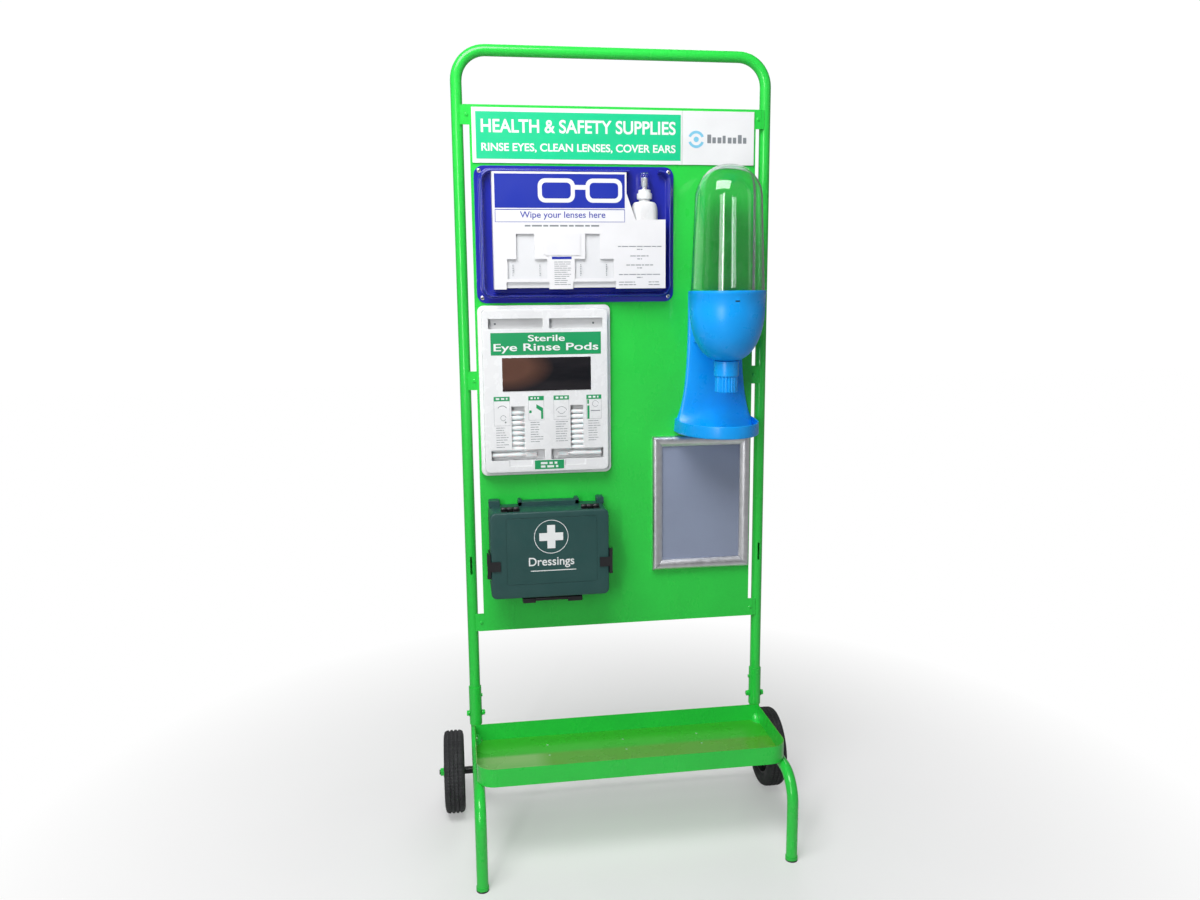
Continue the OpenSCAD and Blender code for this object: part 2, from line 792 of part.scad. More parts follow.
// Handle folded forward under the box
module kit_handle() {
  y = handle_y;
  z = kit_z[0] - 6;
  color([0.05, 0.05, 0.06]) union() {
    for (x = [handle_x[0] + 5, handle_x[1] - 13]) {
      translate([x, y - 45, z - 6]) cube([8, 45, 10]);
      translate([0, y, z]) x_rod(x, x + 8, 5.5);
    }
    translate([handle_x[0] + 5, y - 55, z - 9]) cube([handle_x[1] - handle_x[0] - 10, 14, 13]);
    for (x = [handle_x[0] + 13, handle_x[1] - 26.3]) {
      translate([0, y, z]) x_rod(x, x + 13.3, handle_pin_r - run_gap);
    }
  }
}

module kit_bracket() {
  color([0.15, 0.15, 0.15]) difference() {
    stand_up(face_y, kit_bracket_t) round_rect([kit_mid - 90, kit_mid + 90], [640, 770], 8);
    for (x = [kit_mid - 70, kit_mid + 70], z = [660, 750]) {
      translate([x, face_y, z]) rotate([90, 0, 0]) cylinder(h = 20, r = screw_r, center = true);
    }
  }
}

// Packed dressings that fill the box
module kit_dressings() {
  color([0.93, 0.93, 0.9]) for (x = [kit_x[0] + 8, kit_mid + 2]) {
    translate([x, face_y - kit_d + 12, kit_z[0] + 8]) cube([(kit_x[1] - kit_x[0]) / 2 - 12, 76, 80]);
    translate([x, face_y - kit_d + 12, kit_z[0] + 92]) cube([(kit_x[1] - kit_x[0]) / 2 - 12, 76, 70]);
  }
}

// ---- earplug dispenser ----

// Half width of the back plate at a height: narrow at the cup, spreading towards the tray
function plate_half(z) = 64 + 26 * pow((cup_z[1] - z) / (cup_z[1] - catch_z[0]), 3);

module cup_solid() {
  translate([disp_x, disp_y, 0]) rotate_extrude() cup_outer();
}

// Outer outline of the cup: straight rim, then a bowl down to the neck
module cup_outer() {
  bowl_z = 1230;
  polygon(concat([[0, cup_z[1]], [cup_r, cup_z[1]], [cup_r - 2, bowl_z]],
    [for (a = [10:10:90]) [34 + (cup_r - 36) * cos(a), bowl_z - (bowl_z - cup_z[0]) * sin(a)]],
    [[0, cup_z[0]]]));
}

module dispenser_back() {
  color([0.1, 0.55, 0.95]) difference() {
    union() {
      // Back plate
      translate([disp_x, 0, 0]) stand_up(face_y, 12) polygon(concat(
        [for (z = [catch_z[0]:30:cup_z[1]]) [plate_half(z), z]],
        [for (z = [cup_z[1]:-30:catch_z[0]]) [-plate_half(z), z]]));
      // Arm out to the cup
      translate([disp_x - 55, face_y - 70, 1170]) cube([110, 60, 100]);
      catch_tray();
    }
    cup_solid();
    for (z = disp_screw_z) translate([disp_x, face_y, z]) rotate([90, 0, 0])
      cylinder(h = 40, r = screw_r + 0.1, center = true);
  }
}

// Half-oval of the catch tray in plan, shrunk by inset
module catch_plan(inset) {
  polygon([for (a = [0:6:180])
    [(catch_w - inset) * cos(a), -(catch_out - inset) * pow(sin(a), 0.8)]]);
}

module catch_tray() {
  translate([disp_x, face_y, catch_z[0]]) difference() {
    linear_extrude(catch_z[1] - catch_z[0]) catch_plan(0);
    translate([0, 0, 3]) linear_extrude(60) catch_plan(4);
  }
}

module dispenser_cup() {
  color([0.1, 0.55, 0.95]) difference() {
    cup_solid();
    translate([disp_x, disp_y, 0]) rotate_extrude() polygon(concat(
      [[0, cup_z[1] + 1], [cup_r - cup_wall, cup_z[1] + 1], [cup_r - cup_wall, dome_z[0]],
       [dome_seat_r, dome_z[0]], [dome_seat_r, dome_z[0] - 4], [cup_r - cup_wall - 2, 1230]],
      [for (a = [10:10:90]) [34 + (cup_r - 36 - cup_wall) * cos(a), 1230 - (1230 - cup_z[0] - 3) * sin(a)]],
      [[0, cup_z[0] + 3]]));
    translate([disp_x, disp_y, cup_z[0] - 1]) cylinder(h = 20, r = neck_r + run_gap);
    // Sight slot near the rim
    translate([disp_x - 6, disp_y - cup_r - 2, 1266]) cube([10, 10, 3]);
  }
}

// Clear cover that drops into the cup's rim
module dispenser_dome() {
  straight = dome_z[1] - dome_top_r - dome_z[0];
  color([0.85, 0.95, 0.95, 0.35]) translate([disp_x, disp_y, dome_z[0]]) rotate_extrude() polygon(concat(
    [[dome_r, 0]],
    [for (a = [0:5:90]) [dome_top_r * cos(a), straight + dome_top_r * sin(a)]],
    [for (a = [90:-5:0]) [(dome_top_r - dome_wall) * cos(a), straight + (dome_top_r - dome_wall) * sin(a)]],
    [[dome_r - dome_wall, 0]]));
}

// Turning knob: a plain collar above a ribbed grip, open through the middle for the plugs
module dispenser_knob() {
  rib_z = 1100;
  color([0.1, 0.55, 0.95]) translate([disp_x, disp_y, 0]) difference() {
    union() {
      translate([0, 0, rib_z]) cylinder(h = knob_z[1] - rib_z, r = knob_r);
      translate([0, 0, knob_z[0]]) cylinder(h = rib_z - knob_z[0], r = knob_r - 3.6);
      for (a = [0:18:342]) rotate([0, 0, a]) {
        translate([knob_r - 5, -2.2, knob_z[0] + 1]) cube([2.8, 4.4, rib_z - knob_z[0] - 1]);
      }
      translate([0, 0, knob_z[1] - 1]) cylinder(h = 12, r = neck_r);
    }
    translate([0, 0, knob_z[0] - 1]) cylinder(h = 120, r = 12);
  }
}

// Stirring blade that turns with the knob and feeds the plugs
module dispenser_rotor() {
  color([0.85, 0.85, 0.85]) translate([disp_x, disp_y, knob_z[1] + 11]) {
    difference() {
      cylinder(h = 4, r = neck_r);
      translate([0, 0, -1]) cylinder(h = 10, r = 12);
    }
    for (a = [0, 180]) rotate([0, 0, a]) translate([13, -2, 4]) cube([5, 4, 30]);
  }
}

module dispenser_screws() {
  color([0.7, 0.7, 0.7]) for (z = disp_screw_z) {
    translate([disp_x, face_y - 12, z]) front_screw(4.5, screw_r, 11.9);
  }
}

// ---- snap frame ----

snap_w = snap_x[1] - snap_x[0];
snap_h = snap_z[1] - snap_z[0];
snap_mid = [(snap_x[0] + snap_x[1]) / 2, face_y, (snap_z[0] + snap_z[1]) / 2];
rail_y0 = snap_base_t + snap_sheet_t + 0.3;

module snap_backing() {
  color([0.75, 0.75, 0.77]) stand_up(face_y, snap_base_t) rect(snap_x, snap_z);
}

module snap_sheet() {
  color([0.5, 0.56, 0.66]) stand_up(face_y - snap_base_t, snap_sheet_t)
    rect(grow(snap_x, -rail_w + 8), grow(snap_z, -rail_w + 8));
}

// Rail along X with its outer edge at the origin and its inner edge towards -Z; the section is a low
// arch, the ends are mitred, and a round bead runs along the edge that it turns on
module snap_rail(length) {
  half = length / 2;
  rise = rail_t - 4;
  intersection() {
    translate([-half, 0, 0]) rotate([90, 0, 90]) linear_extrude(length) polygon(concat(
      [[-rail_y0, 0]],
      [for (i = [0:8]) [-rail_y0 - 4 - rise * sin(i * 22.5), -rail_w * i / 8]],
      [[-rail_y0, -rail_w]]));
    stand_up(0, 40) polygon([[-half + rail_gap, 0], [half - rail_gap, 0], [half - rail_w - rail_gap, -rail_w],
                             [-half + rail_w + rail_gap, -rail_w]]);
  }
  translate([0, -rail_y0, 0]) x_rod(-half + bead_r + rail_gap, half - bead_r - rail_gap, bead_r);
}

module snap_rail_top() {
  color([0.78, 0.78, 0.8]) translate([snap_mid[0], face_y, snap_z[1]]) snap_rail(snap_w);
}

module snap_rail_bottom() {
  color([0.78, 0.78, 0.8]) translate([snap_mid[0], face_y, snap_z[0]]) mirror([0, 0, 1]) snap_rail(snap_w);
}

module snap_rail_right() {
  color([0.78, 0.78, 0.8]) translate([snap_x[1], face_y, snap_mid[2]]) rotate([0, 90, 0]) snap_rail(snap_h);
}

module snap_rail_left() {
  color([0.78, 0.78, 0.8]) translate([snap_x[0], face_y, snap_mid[2]]) rotate([0, -90, 0]) snap_rail(snap_h);
}

upper_frame();
panel();
panel_lugs();
panel_screws();
joining_sleeves();
sleeve_bolts();
sleeve_nuts();
sleeve_rivets();
leg_left();
leg_right();
foot_ferrules();
shelf_tray();
axle();
axle_brackets();
axle_spacers();
axle_nuts();
tyre_left();
tyre_right();
rim_left();
rim_right();
sign_board();
emblem_plate();
lens_tray();
lens_card();
lens_screws();
tissue_boxes();
spray_bottle();
spray_collar();
spray_head();
spray_overcap();
pod_case_back();
pod_case_front();
pod_mirror();
pod_stack();
pod_left();
pod_right();
pod_case_screws();
kit_base();
kit_lid();
kit_hinge_pins();
kit_clip_left();
kit_clip_right();
kit_clip_seats();
kit_clip_pins();
kit_handle();
kit_bracket();
kit_dressings();
dispenser_back();
dispenser_cup();
dispenser_dome();
dispenser_knob();
dispenser_rotor();
dispenser_screws();
snap_backing();
snap_sheet();
snap_rail_top();
snap_rail_bottom();
snap_rail_left();
snap_rail_right();
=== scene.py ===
"""Looks of the mobile eye wash and first aid stand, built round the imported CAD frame.

Lengths are in metres; mm() turns millimetres into metres. The front of the stand faces -Y.
"""

import math
import random

import bmesh
import bpy
from mathutils import Matrix, Vector


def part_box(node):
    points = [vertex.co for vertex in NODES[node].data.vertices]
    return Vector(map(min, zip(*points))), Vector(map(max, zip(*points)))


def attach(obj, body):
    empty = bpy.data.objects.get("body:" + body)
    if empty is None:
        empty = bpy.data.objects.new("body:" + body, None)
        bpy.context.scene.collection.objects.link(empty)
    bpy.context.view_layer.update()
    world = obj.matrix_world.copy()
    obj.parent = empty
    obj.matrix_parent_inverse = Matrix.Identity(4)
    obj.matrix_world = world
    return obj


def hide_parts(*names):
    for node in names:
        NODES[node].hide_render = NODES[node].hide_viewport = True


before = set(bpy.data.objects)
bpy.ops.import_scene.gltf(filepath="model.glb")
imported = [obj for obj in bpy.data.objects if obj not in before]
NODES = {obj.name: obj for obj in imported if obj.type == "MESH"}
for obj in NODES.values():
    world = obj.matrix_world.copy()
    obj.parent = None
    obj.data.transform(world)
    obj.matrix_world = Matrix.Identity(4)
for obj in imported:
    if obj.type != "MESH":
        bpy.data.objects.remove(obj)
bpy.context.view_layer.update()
random.seed(7)


def mm(value):
    return value / 1000.0


# ---------------------------------------------------------------- places taken from the frame

UPRIGHT_Y = sum(c.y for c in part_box("joining_sleeves")) / 2


def span(node):
    """(x0, x1, z0, z1, front y, back y) of a CAD node."""
    lo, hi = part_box(node)
    return lo.x, hi.x, lo.z, hi.z, lo.y, hi.y


# ---------------------------------------------------------------- materials


class Graph:
    """A short way to write a node tree."""

    def __init__(self, name):
        self.mat = bpy.data.materials.new(name)
        self.mat.use_nodes = True
        self.tree = self.mat.node_tree
        self.bsdf = self.tree.nodes["Principled BSDF"]
        self.coords = self.node("ShaderNodeTexCoord").outputs["Object"]
        self.normal = None

    def node(self, kind, **values):
        made = self.tree.nodes.new(kind)
        for key, value in values.items():
            if hasattr(made, key):
                setattr(made, key, value)
            else:
                made.inputs[key.replace("_", " ")].default_value = value
        return made

    def link(self, source, target):
        self.tree.links.new(source, target)

    def feed(self, target, value):
        """Gives an input another node's output, a number or a colour."""
        if hasattr(value, "is_linked"):
            self.link(value, target)
        else:
            target.default_value = (*value, 1) if isinstance(value, tuple) else value

    def set(self, **values):
        for key, value in values.items():
            self.bsdf.inputs[key.replace("_", " ")].default_value = value

    def noise(self, scale, detail=3.0, rough=0.5, stretch=None):
        tex = self.node("ShaderNodeTexNoise", Scale=scale, Detail=detail, Roughness=rough)
        place = self.coords
        if stretch:
            mapping = self.node("ShaderNodeMapping", Scale=stretch)
            self.link(place, mapping.inputs["Vector"])
            place = mapping.outputs["Vector"]
        self.link(place, tex.inputs["Vector"])
        return tex.outputs["Fac"]

    def ranged(self, source, low, high, from_low=0.3, from_high=0.7):
        made = self.node("ShaderNodeMapRange", From_Min=from_low, From_Max=from_high, To_Min=low, To_Max=high)
        self.link(source, made.inputs["Value"])
        return made.outputs["Result"]

    def mix(self, factor, first, second):
        made = self.node("ShaderNodeMix", data_type="RGBA")
        for number, value in ((0, factor), (6, first), (7, second)):
            self.feed(made.inputs[number], value)
        return made.outputs[2]

    def bump(self, height, distance, strength=1.0):
        """Adds one layer of bump; layers stack."""
        made = self.node("ShaderNodeBump", Strength=strength, Distance=distance)
        self.link(height, made.inputs["Height"])
        if self.normal is not None:
            self.link(self.normal, made.inputs["Normal"])
        self.normal = made.outputs["Normal"]

    def math(self, operation, first, second):
        made = self.node("ShaderNodeMath", operation=operation)
        self.link(first, made.inputs[0])
        self.link(second, made.inputs[1])
        return made.outputs[0]

    def world(self, what):
        """The world "Position" or "Normal" of the surface, split into X, Y and Z."""
        split = self.node("ShaderNodeSeparateXYZ")
        self.link(self.node("ShaderNodeNewGeometry").outputs[what], split.inputs[0])
        return split.outputs

    def edge_wear(self, radius):
        """1 on sharp edges, 0 on flat faces, broken up by noise."""
        bevel = self.node("ShaderNodeBevel", samples=4, Radius=radius)
        geometry = self.node("ShaderNodeNewGeometry")
        dot = self.node("ShaderNodeVectorMath", operation="DOT_PRODUCT")
        self.link(bevel.outputs["Normal"], dot.inputs[0])
        self.link(geometry.outputs["Normal"], dot.inputs[1])
        edge = self.ranged(dot.outputs["Value"], 1.0, 0.0, 0.75, 0.98)
        return self.math("MULTIPLY", edge, self.ranged(self.noise(90, 5, 0.65), 0.0, 1.0, 0.48, 0.62))

    def finish(self, color, rough):
        self.feed(self.bsdf.inputs["Base Color"], color)
        self.feed(self.bsdf.inputs["Roughness"], rough)
        if self.normal is not None:
            self.link(self.normal, self.bsdf.inputs["Normal"])
        return self.mat


def shade(color, by):
    return tuple(max(0.0, min(1.0, c * by)) for c in color)


def powder_coat(name, color, wave=0.0, top_shade_and_patches=0.0):
    """Gloss powder coat with orange peel, mottling and worn edges. Flat tops get painted shade in a darker
    green, plus tan and olive patches towards the front.
    """
    g = Graph(name)
    base = g.mix(g.ranged(g.noise(6, 4), 0, 1), shade(color, 0.93), shade(color, 1.06))
    base = g.mix(g.ranged(g.noise(240, 2), 0, 0.25), base, shade(color, 1.2))
    base = g.mix(g.edge_wear(mm(1.2)), base, shade(color, 0.55))
    if top_shade_and_patches:
        at = g.world("Position")
        # Painted shade: upward faces are turned a darker, deeper green.
        amount = g.ranged(g.world("Normal")["Z"], 0, top_shade_and_patches, 0.8, 0.98)
        base = g.mix(amount, base, (0.045, 0.44, 0.022))
        # Tan patches at the left and olive ones elsewhere, broken by noise, on the front part of flat tops.
        for source in (g.ranged(at["Y"], 1, 0, -0.042, -0.030),
                       g.ranged(g.noise(6, 5, 0.65, (0.6, 1.6, 1)), 0.7, 1, 0.36, 0.62)):
            amount = g.math("MULTIPLY", amount, source)
        top_patch = g.mix(g.ranged(at["X"], 0, 1, -0.22, -0.18), (0.26, 0.50, 0.16), (0.12, 0.36, 0.025))
        base = g.mix(amount, base, top_patch)
    g.bump(g.noise(420, 2), mm(0.25), 0.35)
    if wave:
        g.bump(g.noise(3.0, 2), mm(wave), 0.5)
    scuffs = g.ranged(g.noise(11, 5, 0.6, (1, 1, 0.5)), 0.26, 0.36, 0.4, 0.75)
    g.set(Coat_Weight=0.5, Coat_Roughness=0.05, Specular_IOR_Level=0.3)
    return g.finish(base, scuffs)


def moulded(name, color, rough=0.32, grain=0.25, grain_scale=900, coat=0.0, subsurface=0.0):
    """Injection-moulded or formed plastic with a fine grain and slight flow marks."""
    g = Graph(name)
    base = g.mix(g.ranged(g.noise(9, 3), 0, 1), shade(color, 0.94), shade(color, 1.05))
    base = g.mix(g.ranged(g.noise(60, 5, 0.7), 0, 0.12, 0.5, 0.8), base, shade(color, 1.35))
    g.bump(g.noise(grain_scale, 2), mm(0.2), grain)
    roughness = g.ranged(g.noise(35, 4), rough * 0.8, rough * 1.25)
    g.set(Coat_Weight=coat, Coat_Roughness=0.06, Subsurface_Weight=subsurface)
    if subsurface:
        g.bsdf.inputs["Subsurface Radius"].default_value = (0.004, 0.003, 0.003)
    return g.finish(base, roughness)


def clear_plastic(name, tint, rough=0.03):
    """Thin clear moulding, with faint waviness and handling marks."""
    g = Graph(name)
    marks = g.ranged(g.noise(45, 6, 0.75), rough, rough + 0.10, 0.5, 0.8)
    g.bump(g.noise(14, 2), mm(0.6), 0.25)
    g.bump(g.noise(200, 2), mm(0.1), 0.1)
    g.set(Transmission_Weight=1.0, IOR=1.46, Specular_IOR_Level=0.6)
    return g.finish(tint, marks)


def rubber(name, color):
    g = Graph(name)
    base = g.mix(g.ranged(g.noise(40, 5, 0.7), 0, 1), color, shade(color, 2.1))
    base = g.mix(g.edge_wear(mm(1.5)), base, (0.12, 0.11, 0.10))
    g.bump(g.noise(700, 3), mm(0.4), 0.6)
    g.set(Specular_IOR_Level=0.35)
    return g.finish(base, g.ranged(g.noise(25, 4), 0.55, 0.8))


def painted_rubber(name, color):
    """Rubber foot painted with the frame, black in the lowest few millimetres near the floor."""
    g = Graph(name)
    height = g.math("ADD", g.world("Position")["Z"], g.ranged(g.noise(160, 4), mm(-1), mm(1)))
    base = g.mix(g.ranged(height, 0, 1, mm(3), mm(3.6)), (0.012, 0.012, 0.012), shade(color, 0.9))
    g.bump(g.noise(500, 3), mm(0.3), 0.4)
    return g.finish(base, g.ranged(g.noise(40, 4), 0.4, 0.6))


def metal(name, color, rough, stretch=(1, 1, 1), brushed=0.3):
    g = Graph(name)
    base = g.mix(g.ranged(g.noise(60, 4), 0, 1), shade(color, 0.9), color)
    g.bump(g.noise(600, 3, 0.6, stretch), mm(0.1), brushed)
    g.set(Metallic=1.0)
    return g.finish(base, g.ranged(g.noise(120, 3, 0.6, stretch), rough * 0.8, rough * 1.3))


def mirror_glass(name):
    """Silvered acrylic with a faint ripple and a few smears."""
    g = Graph(name)
    g.bump(g.noise(7, 1), mm(0.25), 0.12)
    smears = g.ranged(g.noise(26, 5, 0.7, (1, 1, 2)), 0.015, 0.09, 0.55, 0.85)
    tint = g.mix(g.ranged(g.noise(30, 4), 0, 1), (0.84, 0.85, 0.87), (0.88, 0.89, 0.90))
    g.set(Metallic=1.0)
    return g.finish(tint, smears)


def printed(name, color, rough=0.35):
    """Ink or vinyl film on a rigid board."""
    g = Graph(name)
    base = g.mix(g.ranged(g.noise(12, 4), 0, 1), shade(color, 0.96), shade(color, 1.03))
    base = g.mix(g.ranged(g.noise(500, 2), 0, 0.1), base, shade(color, 1.2))
    g.bump(g.noise(5, 2), mm(0.5), 0.1)
    g.bump(g.noise(900, 2), mm(0.05), 0.15)
    g.set(Coat_Weight=0.15, Coat_Roughness=0.15)
    return g.finish(base, g.ranged(g.noise(20, 4), rough * 0.85, rough * 1.2))


def paper(name, color):
    g = Graph(name)
    base = g.mix(g.ranged(g.noise(18, 4), 0, 1), shade(color, 0.96), color)
    g.bump(g.noise(350, 5, 0.7, (1, 1, 2)), mm(0.15), 0.35)
    return g.finish(base, g.ranged(g.noise(60, 3), 0.6, 0.8))


GREEN = (0.024, 0.62, 0.062)
MAT = {
    "frame": powder_coat("frame_green", GREEN),
    "panel": powder_coat("panel_green", GREEN, wave=1.2),
    "shelf": powder_coat("shelf_green", GREEN, top_shade_and_patches=0.9),
    "ferrule": painted_rubber("ferrule_painted", GREEN),
    "tyre": rubber("tyre_black", (0.020, 0.020, 0.022)),
    "black": moulded("black_plastic", (0.012, 0.012, 0.014), 0.4, 0.4),
    "plated": metal("plated_steel", (0.75, 0.75, 0.78), 0.28),
    "board": printed("white_board", (0.80, 0.81, 0.82)),
    "mint": printed("mint_film", (0.006, 0.58, 0.26)),
    "label": printed("label_green", (0.010, 0.32, 0.11)),
    "ink": printed("white_ink", (0.82, 0.84, 0.84)),
    "grey_ink": printed("grey_ink", (0.22, 0.24, 0.26)),
    "blue_ink": printed("blue_ink", (0.010, 0.028, 0.38)),
    "sky_ink": printed("sky_ink", (0.20, 0.55, 0.75)),
    "lens_blue": moulded("lens_blue", (0.014, 0.022, 0.36), 0.14, 0.05, 500, coat=0.7),
    "card": paper("card_white", (0.81, 0.81, 0.83)),
    "tissue": paper("tissue_white", (0.74, 0.75, 0.77)),
    "bottle": moulded("bottle_white", (0.80, 0.81, 0.82), 0.3, 0.1, 600, subsurface=0.15),
    "overcap": clear_plastic("overcap_clear", (0.97, 0.98, 1.0), 0.06),
    "case": moulded("case_white", (0.81, 0.82, 0.83), 0.26, 0.08, 500, coat=0.3),
    # A lighter copy of the case white: painted light for the liner inside the case recesses.
    "case_painted_light": moulded("case_white_painted_light", (0.92, 0.93, 0.94), 0.4, 0.08, 500),
    "mirror": mirror_glass("mirror_silver"),
    "pod": moulded("pod_plastic", (0.88, 0.91, 0.92), 0.22, 0.1, 600, subsurface=0.6),
    "kit": moulded("kit_green", (0.017, 0.070, 0.066), 0.42, 0.5, 700),
    "dressing": paper("dressing_wrap", (0.80, 0.80, 0.76)),
    "blue": moulded("dispenser_blue", (0.001, 0.35, 0.95), 0.30, 0.12, 500),
    "rotor": moulded("rotor_white", (0.80, 0.80, 0.80)),
    "dome": clear_plastic("dome_clear", (0.93, 0.985, 0.975)),
    "rail": metal("rail_anodised", (0.86, 0.86, 0.89), 0.36, (1, 1, 1), 0.03),
    "sheet": printed("sheet_grey", (0.25, 0.29, 0.40), 0.55),
}

# ---------------------------------------------------------------- shared mesh tools


def to_object(name, bm):
    """A new object of the scene from a bmesh."""
    mesh = bpy.data.meshes.new(name)
    bmesh.ops.recalc_face_normals(bm, faces=bm.faces)
    bm.to_mesh(mesh)
    bm.free()
    return to_scene(name, mesh)


def to_scene(name, data):
    made = bpy.data.objects.new(name, data)
    bpy.context.scene.collection.objects.link(made)
    return made


def smooth(mesh, angle):
    mesh.shade_smooth()
    mesh.set_sharp_from_angle(angle=math.radians(angle))


def add_mesh(name, bm, material, body, slot, angle=35, replaces=()):
    """Turns a bmesh into a finished piece that rides on a body."""
    piece = to_object(name, bm)
    piece.data.materials.append(MAT[material])
    smooth(piece.data, angle)
    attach(piece, body)
    if replaces:
        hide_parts(*replaces)
    return piece


def bevel(piece, width, segments=3, angle=35):
    made = piece.modifiers.new("bevel", "BEVEL")
    made.width = width
    made.segments = segments
    made.limit_method = "ANGLE"
    made.angle_limit = math.radians(angle)


def ease(points, steps=4):
    """Rounds the corners of a polyline. Each point is (vector, radius); vectors may have any length."""
    out = []
    last = len(points) - 1
    for i, (point, radius) in enumerate(points):
        point = [float(v) for v in point]
        if i in (0, last) or radius <= 0:
            out.append(point)
            continue
        before, after = points[i - 1][0], points[i + 1][0]

        def toward(other):
            gap = [o - p for o, p in zip(other, point)]
            length = math.sqrt(sum(v * v for v in gap)) or 1.0
            reach = min(radius, length * 0.49)
            return [p + v * reach / length for p, v in zip(point, gap)]

        a, b = toward(before), toward(after)
        for k in range(steps + 1):
            t = k / steps
            out.append([(1 - t) ** 2 * u + 2 * t * (1 - t) * p + t * t * v for u, p, v in zip(a, point, b)])
    return out


def round_loop(x0, x1, z0, z1, radius, y, corner=8):
    """Points round a rectangle with round corners, in a plane of constant y."""
    radius = max(radius, mm(0.2))
    points = []
    centres = ((x1 - radius, z1 - radius, 0), (x0 + radius, z1 - radius, 90),
               (x0 + radius, z0 + radius, 180), (x1 - radius, z0 + radius, 270))
    for cx, cz, start in centres:
        for k in range(corner + 1):
            a = math.radians(start + 90 * k / corner)
            points.append(Vector((cx + radius * math.cos(a), y, cz + radius * math.sin(a))))
    return points


def skin(bm, loops, wrap=False):
    """Joins loops of equal length with faces, and closes the ends or joins the last loop to the first."""
    rings = [[bm.verts.new(p) for p in loop] for loop in loops]
    count = len(rings[0])
    for first, second in zip(rings, rings[1:] + rings[:1] if wrap else rings[1:]):
        for k in range(count):
            n = (k + 1) % count
            bm.faces.new((first[k], first[n], second[n], second[k]))
    if not wrap:
        bm.faces.new(rings[0])
        bm.faces.new(list(reversed(rings[-1])))


def formed(bm, profile, steps=4, corner=8):
    """A formed shell. Each profile point is ((x0, x1, z0, z1, corner radius, y), easing radius)."""
    skin(bm, [round_loop(*values, corner=corner) for values in ease(profile, steps)])


def circle(centre, radius, count, first=0, second=1):
    """Points round a circle, from one axis towards another. The radius may be a function of their number."""
    points = []
    for k in range(count):
        a = 2 * math.pi * k / count
        r = radius(k) if callable(radius) else radius
        point = list(centre)
        point[first] += r * math.cos(a)
        point[second] += r * math.sin(a)
        points.append(Vector(point))
    return points


def lathe(bm, profile, centre, segments=96, wrap=False):
    """Turns (radius, height) points about an upright axis through centre = (x, y)."""
    skin(bm, [circle((*centre, height), radius, segments) for radius, height in profile], wrap)


def block(bm, x0, x1, y0, y1, z0, z1):
    """An axis-aligned block; bevels are added by the caller."""
    corners = [bm.verts.new((x, y, z)) for z in (z0, z1) for y in (y0, y1) for x in (x0, x1)]
    for face in ((0, 1, 3, 2), (4, 6, 7, 5), (0, 4, 5, 1), (2, 3, 7, 6), (0, 2, 6, 4), (1, 5, 7, 3)):
        bm.faces.new([corners[i] for i in face])


def slab(bm, outline, y0, y1):
    """A flat plate from an outline of (x, z) points, between two y planes."""
    front = [bm.verts.new((x, y0, z)) for x, z in outline]
    back = [bm.verts.new((x, y1, z)) for x, z in outline]
    bm.faces.new(front)
    bm.faces.new(list(reversed(back)))
    count = len(outline)
    for k in range(count):
        n = (k + 1) % count
        bm.faces.new((front[k], back[k], back[n], front[n]))


def evaluated(piece):
    """The mesh of an object with its modifiers applied."""
    bpy.context.view_layer.update()
    return bpy.data.meshes.new_from_object(piece.evaluated_get(bpy.context.evaluated_depsgraph_get()))


def cut(piece, bm):
    """Removes a closed bmesh from a piece, for good."""
    cutter = to_object("cutter", bm)
    made = piece.modifiers.new("cut", "BOOLEAN")
    made.object = cutter
    made.solver = "EXACT"
    done = evaluated(piece)
    piece.modifiers.clear()
    piece.data = done
    bpy.data.objects.remove(cutter)
    smooth(done, 35)


FILM = mm(0.25)
INK = mm(0.1)


def film(name, outlines, y, material, body, slot, thick=FILM):
    """Printed or stuck-on shapes just proud of the plane y. Outlines are lists of (x, z)."""
    bm = bmesh.new()
    for outline in outlines:
        slab(bm, outline, y - thick, y - mm(0.02))
    return add_mesh(name, bm, material, body, slot)


def box_outline(x0, x1, z0, z1, radius=0.0):
    if radius <= 0:
        return [(x0, z0), (x1, z0), (x1, z1), (x0, z1)]
    return [(p.x, p.z) for p in round_loop(x0, x1, z0, z1, radius, 0, 5)]


def disc_outline(cx, cz, radius, count=40):
    return [(p.x, p.z) for p in circle((cx, 0, cz), radius, count, 0, 2)]


def cross_outline(cx, cz, size, arm):
    s, a = size / 2, arm / 2
    corners = [(-a, -s), (a, -s), (a, -a)]
    for _ in range(3):
        corners += [(-z, x) for x, z in corners[-3:]]
    return [(cx + x, cz + z) for x, z in corners]


# ---------------------------------------------------------------- CAD nodes kept as they are

